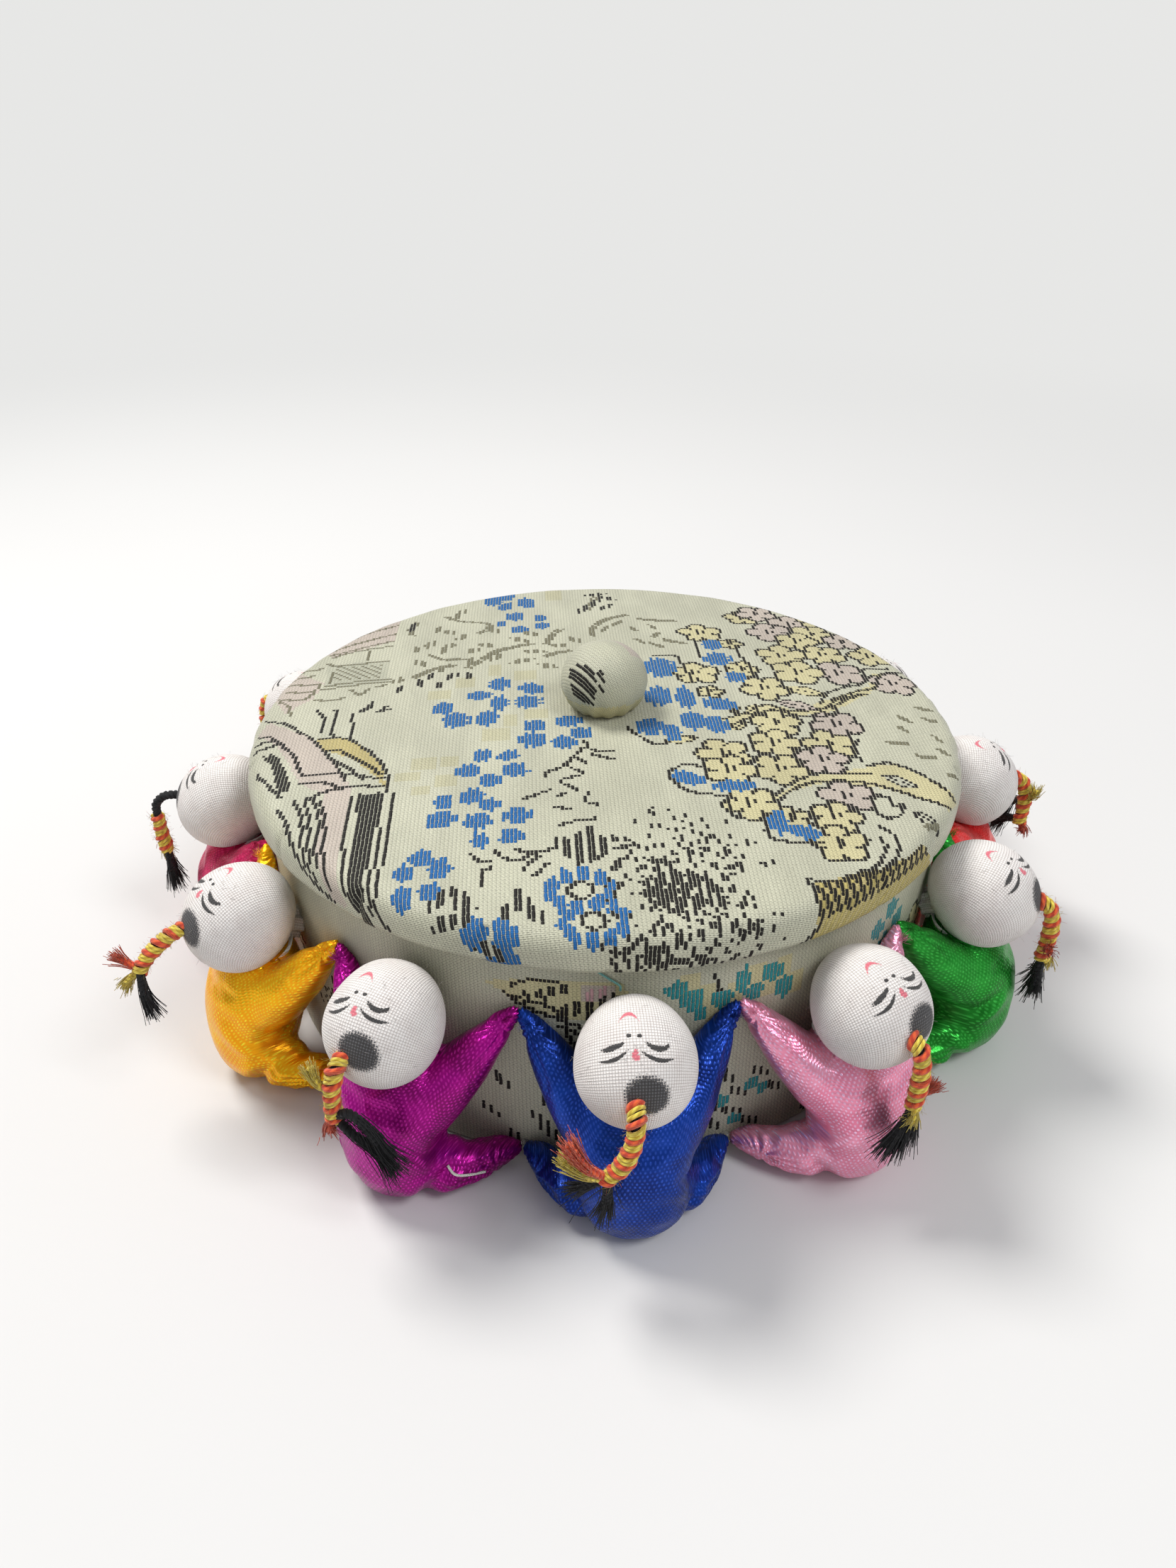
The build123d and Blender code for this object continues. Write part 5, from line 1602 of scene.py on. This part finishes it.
for index in range(dollCount):
    name = f"doll{index + 1:02d}"
    colour = dollColours[index]
    skin = (*forms[index % 3], [], formUvs[index % 3])
    points, quads, tris, flat = joinParts([skin] + rawThreads(index))
    thing = buildMesh(name + "Body", atDoll(points, index), quads, tris)
    setUv(thing, "cloth", flat)
    place(thing, "box", satinMaterials[colour], "satin_" + colour,
          f"doll_{index + 1:02d}_torso", f"doll_{index + 1:02d}_limbs")
    makeHead(index, name)
print("dolls made")

# Queues: black yarn bound with yellow and red, with loose ends

queue = dict(
    coreRadius=0.62, rootRadius=0.8, ringRadius=0.93, pitch=2.1, tasselRadius=0.72,
    # each binding's strand radius, its turns' shares of the pitch, its end's radius and first seed
    bindings=dict(yellow=(0.31, (0.0, 0.27), 0.55, 20), red=(0.45, (0.635,), 0.62, 40)),
    tasselFibres=100, endFibres=110, opening=1.5, fibreRadius=0.085, fibreTaper=0.040, lowest=0.2,
    hairs=70, hairLength=0.9, hairsAt=1.25,
    # each style's lines on the first doll: x to its left hand, -y out of the wall, z up
    styles=dict(
        kinked=dict(
            bound=[(-0.7, -76.4, 31.8), (-0.8, -78.9, 30.6), (-1.2, -79.8, 27.4), (-2.6, -79.9, 23.6),
                   (-4.8, -79.5, 20.6)],
            tassels=[[(-4.6, -79.5, 21), (-4.4, -79.4, 17), (-5.2, -78.8, 11)],
                     [(-4.6, -79.5, 21), (-7.4, -79.3, 19.4), (-10.2, -78.2, 17.0)]],
            yellow=[(-4.6, -79.6, 20.8), (-7.8, -80.2, 22.8), (-11.2, -79.0, 25.4)],
            red=[(-4.6, -79.6, 21.2), (-7.4, -80.4, 24.6), (-10.4, -78.6, 28.6)]),
        looped=dict(
            bound=[(-0.7, -76.4, 31.8), (-0.9, -78.8, 30.4), (-1.3, -79.7, 26.6), (-1.6, -79.5, 21.6)],
            tassels=[[(-1.5, -79.5, 22.2), (1.8, -80.1, 24.6), (4.6, -79.8, 22.4), (6.0, -79.2, 18.6),
                      (9.0, -78.0, 14.6)],
                     [(-1.5, -79.5, 21.8), (2.0, -80.0, 20.4), (5.6, -79.4, 18.0), (8.0, -78.6, 12.6)]],
            yellow=[(-1.0, -79.6, 26.5), (-3.2, -80.2, 28.6), (-4.6, -79.8, 31.6)],
            red=[(-1.6, -79.6, 22), (-2.0, -80.4, 20.6), (-1.6, -80.4, 19.2)]),
        outward=dict(
            bound=[(-0.7, -76.4, 31.8), (-0.8, -79.6, 31.0), (-1.2, -82.8, 28.6), (-1.4, -84.8, 26.0)],
            tassels=[[(-1.3, -84.6, 26.2), (0.6, -85.0, 22.8), (2.4, -84.2, 18.6)]],
            yellow=[(-1.4, -84.7, 26.2), (-2.6, -86.4, 24.2), (-3.2, -87.8, 21.8)],
            red=[(-1.4, -84.6, 26.4), (-2.6, -86.2, 27.8), (-3.4, -88.0, 30.0)]),
        longRoot=dict(
            root=[(-0.7, -76.4, 31.8), (-0.8, -79.8, 31.6), (-0.9, -81.8, 29.8), (-0.9, -82.0, 27.4)],
            bound=[(-0.9, -82.0, 28.0), (-0.8, -82.0, 24.0), (-0.6, -81.6, 19.6)],
            tassels=[[(-0.6, -81.6, 20), (-0.2, -81.4, 15.5), (0.3, -80.8, 10.4)],
                     [(-0.6, -81.6, 20), (-1.2, -81.4, 15.8), (-1.6, -80.8, 11.2)]],
            yellow=[(-0.8, -81.8, 21), (-3.0, -82.8, 18.8), (-4.8, -82.8, 15.0)],
            red=[(-0.8, -81.8, 21.4), (-3.2, -83.0, 20.2), (-5.4, -83.0, 17.2)]),
        straight=dict(
            bound=[(-0.7, -76.4, 31.8), (-0.7, -78.9, 30.6), (-0.8, -79.8, 27.0), (-0.9, -79.6, 20.4)],
            tassels=[[(-0.9, -79.6, 20.8), (-2.8, -79.4, 16.8), (-5.8, -78.8, 12.0)],
                     [(-0.9, -79.6, 20.8), (-1.5, -79.6, 16.4), (-3.0, -79.2, 10.8)],
                     [(-0.7, -79.6, 20.8), (-0.3, -79.6, 16.2), (-0.9, -79.2, 11.4)]],
            yellow=[(-0.9, -79.8, 21.6), (-1.6, -80.6, 20.0), (-2.0, -80.4, 18.2)],
            red=[(-0.7, -79.8, 22.6), (1.2, -80.4, 24.0), (2.8, -80.2, 24.8)])),
    # the style of each doll, and whether it is mirrored
    worn=[("kinked", 1), ("straight", 1), ("straight", -1), ("looped", 1), ("kinked", -1), ("straight", 1),
          ("longRoot", 1), ("kinked", 1), ("straight", -1), ("longRoot", 1), ("outward", 1), ("looped", 1)],
)


def resample(path, step):
    # the same curve at even steps
    line = curveThrough(path, step)
    reach = lengthsAlong(line)
    at = np.arange(0, reach[-1], step)
    return np.stack([np.interp(at, reach, line[:, k]) for k in range(3)], 1)


def yarn(line, radius, twist=1.7):
    # two plies wound round each other along a line
    across, other = frameAlong(line)
    reach = np.arange(len(line)) * np.linalg.norm(line[1] - line[0])
    parts = []
    for phase in (0, math.pi):
        a = (reach * 2 * math.pi / twist + phase)[:, None]
        parts.append(tube(line + (np.cos(a) * across + np.sin(a) * other) * radius * 0.45, radius * 0.62, 6))
    return parts


def frayed(path, radius, count, seed, solid):
    # twisted yarn for its first part, then a bundle of fibres that keeps to the path and opens
    line = resample(path, 0.25)
    parts = yarn(line[:max(4, int(len(line) * solid))], radius, 1.5)
    rng = np.random.default_rng(seed)
    across, other = frameAlong(line)
    for _ in range(count):
        first = int(len(line) * rng.uniform(0.05, solid * 0.9))
        last = max(first + 4, int(len(line) * rng.uniform(0.72, 1.0)))
        pick = np.unique(np.linspace(first, min(last, len(line)) - 1, 7).astype(int))
        t = (pick / len(line))[:, None]
        side = rng.normal(size=2)
        drift = rng.normal(size=3) * 0.25
        opened = radius * (0.45 + queue["opening"] * t ** 2)
        hair = line[pick] + (across[pick] * side[0] + other[pick] * side[1]) * opened * 0.8 + drift * t ** 2
        hair[:, 2] = np.maximum(hair[:, 2], queue["lowest"])
        parts.append(tube(hair, queue["fibreRadius"] - queue["fibreTaper"] * t[:, 0], 3))
    return parts


def windings(axis, strand, share, seed):
    # one strand wound along an axis, at a share of the pitch
    across, other = frameAlong(axis)
    reach = np.arange(len(axis)) * np.linalg.norm(axis[1] - axis[0])
    wander = 0.10 * np.sin(reach * 1.3 + seed) + 0.07 * np.sin(reach * 3.1 + 2 * seed)
    swell = queue["ringRadius"] + 0.07 * np.sin(reach * 0.9 + seed)
    a = 2 * math.pi * ((reach + wander) / queue["pitch"] + share)[:, None]
    return tube(axis + (np.cos(a) * across + np.sin(a) * other) * swell[:, None], strand, 8)


def makeQueue(index):
    name, mirror = queue["worn"][index]
    style = queue["styles"][name]
    flip = np.array([mirror, 1, 1])
    bound = resample(np.array(style["bound"]) * flip, 0.08)
    root = resample(np.array(style.get("root", style["bound"][:2])) * flip, 0.2)
    blacks = yarn(root, queue["rootRadius"]) + yarn(bound[::2], queue["coreRadius"])
    for k, path in enumerate(style["tassels"]):
        blacks += frayed(np.array(path) * flip, queue["tasselRadius"], queue["tasselFibres"],
                         index * 5 + k, 0.62)
    around = bound[::3]
    across, other = frameAlong(around)
    ring = np.vstack([across, other, -across, -other])
    bindings = []
    for colour, (strand, shares, endRadius, seed) in queue["bindings"].items():
        parts = [windings(bound[6:], strand, share, index) for share in shares]
        parts += frayed(np.array(style[colour]) * flip, endRadius, queue["endFibres"], index + seed, 0.85)
        parts += fuzz(np.tile(around, (4, 1)) + ring * queue["hairsAt"], ring, queue["hairs"],
                      queue["hairLength"], index + seed + 40)
        bindings.append(parts)
    return blacks, *bindings


queueParts = ([], [], [])
for index in range(dollCount):
    for store, parts in zip(queueParts, makeQueue(index)):
        store += [(atDoll(p, index), q, t, uv) for p, q, t, uv in parts]
for name, parts, material, slot, node in (
        ("queueYarns", queueParts[0], blackYarn, "yarn_black", "queue_yarns"),
        ("queueYellow", queueParts[1], yellowYarn, "yarn_yellow", "queue_bindings_yellow"),
        ("queueRed", queueParts[2], redYarn, "yarn_red", "queue_bindings_red")):
    points, quads, tris, uv = joinParts(parts)
    thing = buildMesh(name, points, quads, tris)
    setUv(thing, "yarn", uv)
    place(thing, "box", material, slot, node)
    print(name, len(quads) * 2 + len(tris))

# Glue, and the loose thread that it holds

glue = dict(
    # height, half width, half depth and half height of the drops at hands and feet
    drops=[(29.6, 0.85, 0.8, 1.1), (3.0, 0.85, 1.0, 0.9)], rings=14, spokes=20, lumps=0.22,
    # a loose white thread glued across the last doll's leg: places sideways and heights
    loose=[(9.4, 7.2), (10.8, 6.2), (12.2, 5.1), (13.6, 4.1)], looseRadius=0.2, looseOut=(0, -0.75, 0.65))


def makeGlue():
    # lumpy balls pressed against the wall, between each doll and the next
    polar = np.linspace(0, math.pi, glue["rings"] + 1)[1:-1, None]
    azimuth = np.linspace(0, 2 * math.pi, glue["spokes"], endpoint=False)[None, :]
    ball = np.stack(np.broadcast_arrays(
        np.sin(polar) * np.cos(azimuth), np.sin(polar) * np.sin(azimuth), np.cos(polar)), -1)
    ball = np.vstack([ball.reshape(-1, 3), [[0, 0, 1.0]], [[0, 0, -1.0]]])
    quads, tris = (faces[:, ::-1] for faces in closedRings(glue["rings"] - 1, glue["spokes"]))
    parts = []
    for k in range(dollCount):
        for height, wide, deep, tall in glue["drops"]:
            lump = ball * (1 + glue["lumps"] * smoothNoise(ball * 3 + k, (5, 3), k + int(height)))[:, None]
            points = lump * [wide, deep, tall] + [0, -wallRadius - deep * 0.55, height]
            parts.append((atDoll(points, k + 0.5), quads, tris, np.zeros((len(ball), 2))))
    points, quads, tris, _ = joinParts(parts)
    place(buildMesh("glueDrops", points, quads, tris), "box", hotGlue, "glue", "glue_drops")


def makeLooseThread():
    # it lies on the front-most skin at each of its places
    last = dollCount - 1
    skin = forms[last % 3][0]
    path = []
    for x, z in glue["loose"]:
        near = skin[(np.abs(skin[:, 0] - x) < 0.4) & (np.abs(skin[:, 2] - z) < 0.4)]
        path.append(near[np.argmin(near[:, 1])] + np.array(glue["looseOut"]) * glue["looseRadius"])
    points, quads, tris, _ = tube(resample(path, 0.3), glue["looseRadius"], 8)
    place(buildMesh("looseThread", atDoll(points, last), quads, tris), "box", threadCloth, "thread")


makeGlue()
makeLooseThread()

# Stage, light and camera

stage = dict(
    size=12.0, pale=(0.80, 0.80, 0.79), fadeFrom=0.16, fadeTo=0.60,
    world=(0.94, 0.96, 1.0), worldStrength=0.44,
    # place, the point it faces, width in metres, power and colour of each lamp
    lamps=dict(window=((-0.50, 0.35, 0.95), (0, 0, 0.02), 0.45, 11.0, (1.0, 0.98, 0.95)),
               room=((0.45, -0.40, 0.80), (0, 0, 0.03), 0.35, 3.4, (0.97, 0.98, 1.0))))


def makeFloor():
    # a pale floor that keeps the shadow, and fades into one plain pale colour for the camera
    half = stage["size"] / 2 / mm
    corners = np.array([[-half, -half, 0], [half, -half, 0], [half, half, 0], [-half, half, 0]])
    floor = buildMesh("floor", corners, np.array([[0, 1, 2, 3]]), smooth=False)
    b = Bench("paleFloor")
    x, y, _ = b.split(b.coords())
    far = (x * x + y * y).calc("SQRT")
    cloud = b.noise(b.coords(), 3, 3)
    b.finish(b.mix(cloud, (0.66, 0.655, 0.645), (0.72, 0.715, 0.705)), 0.9)
    plain = b.node("Emission", Color=stage["pale"])
    seen = Value(b.node("LightPath").outputs["Is Camera Ray"])
    mix = b.node("MixShader")
    shaders = (Value(b.shader.outputs[0]), Value(plain.outputs[0]))
    for socket, value in zip(mix.inputs, (far.ramp(stage["fadeFrom"], stage["fadeTo"]) * seen, *shaders)):
        feed(socket, value)
    feed(b.tree.nodes["Material Output"].inputs[0], Value(mix.outputs[0]))
    floor.data.materials.append(b.material)


def makeWorld():
    # soft light from all round; the camera sees the plain pale colour instead
    world = bpy.data.worlds.new("softRoom")
    bpy.context.scene.world = world
    world.use_nodes = True
    tree = world.node_tree
    sky = tree.nodes["Background"]
    plain = tree.nodes.new("ShaderNodeBackground")
    feed(sky.inputs[0], stage["world"])
    feed(sky.inputs[1], stage["worldStrength"])
    feed(plain.inputs[0], stage["pale"])
    seen = tree.nodes.new("ShaderNodeLightPath").outputs["Is Camera Ray"]
    mix = tree.nodes.new("ShaderNodeMixShader")
    for socket, value in zip(mix.inputs, (seen, sky.outputs[0], plain.outputs[0])):
        feed(socket, Value(value))
    feed(tree.nodes["World Output"].inputs[0], Value(mix.outputs[0]))


def makeLamp(name, place, aim, size, power, colour):
    light = bpy.data.lights.new(name, "AREA")
    light.shape = "DISK"
    light.size = size
    light.energy = power
    light.color = colour
    thing = bpy.data.objects.new(name, light)
    bpy.context.scene.collection.objects.link(thing)
    thing.location = place
    way = np.array(aim) - np.array(place)
    flat = math.hypot(way[0], way[1])
    thing.rotation_euler = (math.atan2(flat, -way[2]), 0, math.atan2(-way[0], way[1]))


# place in mm, angles in degrees, focal length in the photo's pixels, sensor in mm and clip in metres
camera = dict(
    place=(-12.2, -179.1, 143.7), pitchDown=31.9, yaw=3.0, pixels=1618, frameHeight=2212, sensor=36.0,
    clipStart=0.005)


def makeCamera():
    data = bpy.data.cameras.new("camera")
    data.sensor_width = camera["sensor"]
    data.lens = camera["pixels"] / camera["frameHeight"] * camera["sensor"]
    data.clip_start = camera["clipStart"]
    thing = bpy.data.objects.new("camera", data)
    bpy.context.scene.collection.objects.link(thing)
    thing.location = [c * mm for c in camera["place"]]
    thing.rotation_euler = (math.radians(90 - camera["pitchDown"]), 0, -math.radians(camera["yaw"]))
    bpy.context.scene.camera = thing


makeFloor()
makeWorld()
for name, values in stage["lamps"].items():
    makeLamp(name, *values)
makeCamera()
bpy.context.scene.view_settings.view_transform = "Standard"
print("stage, light and camera made")
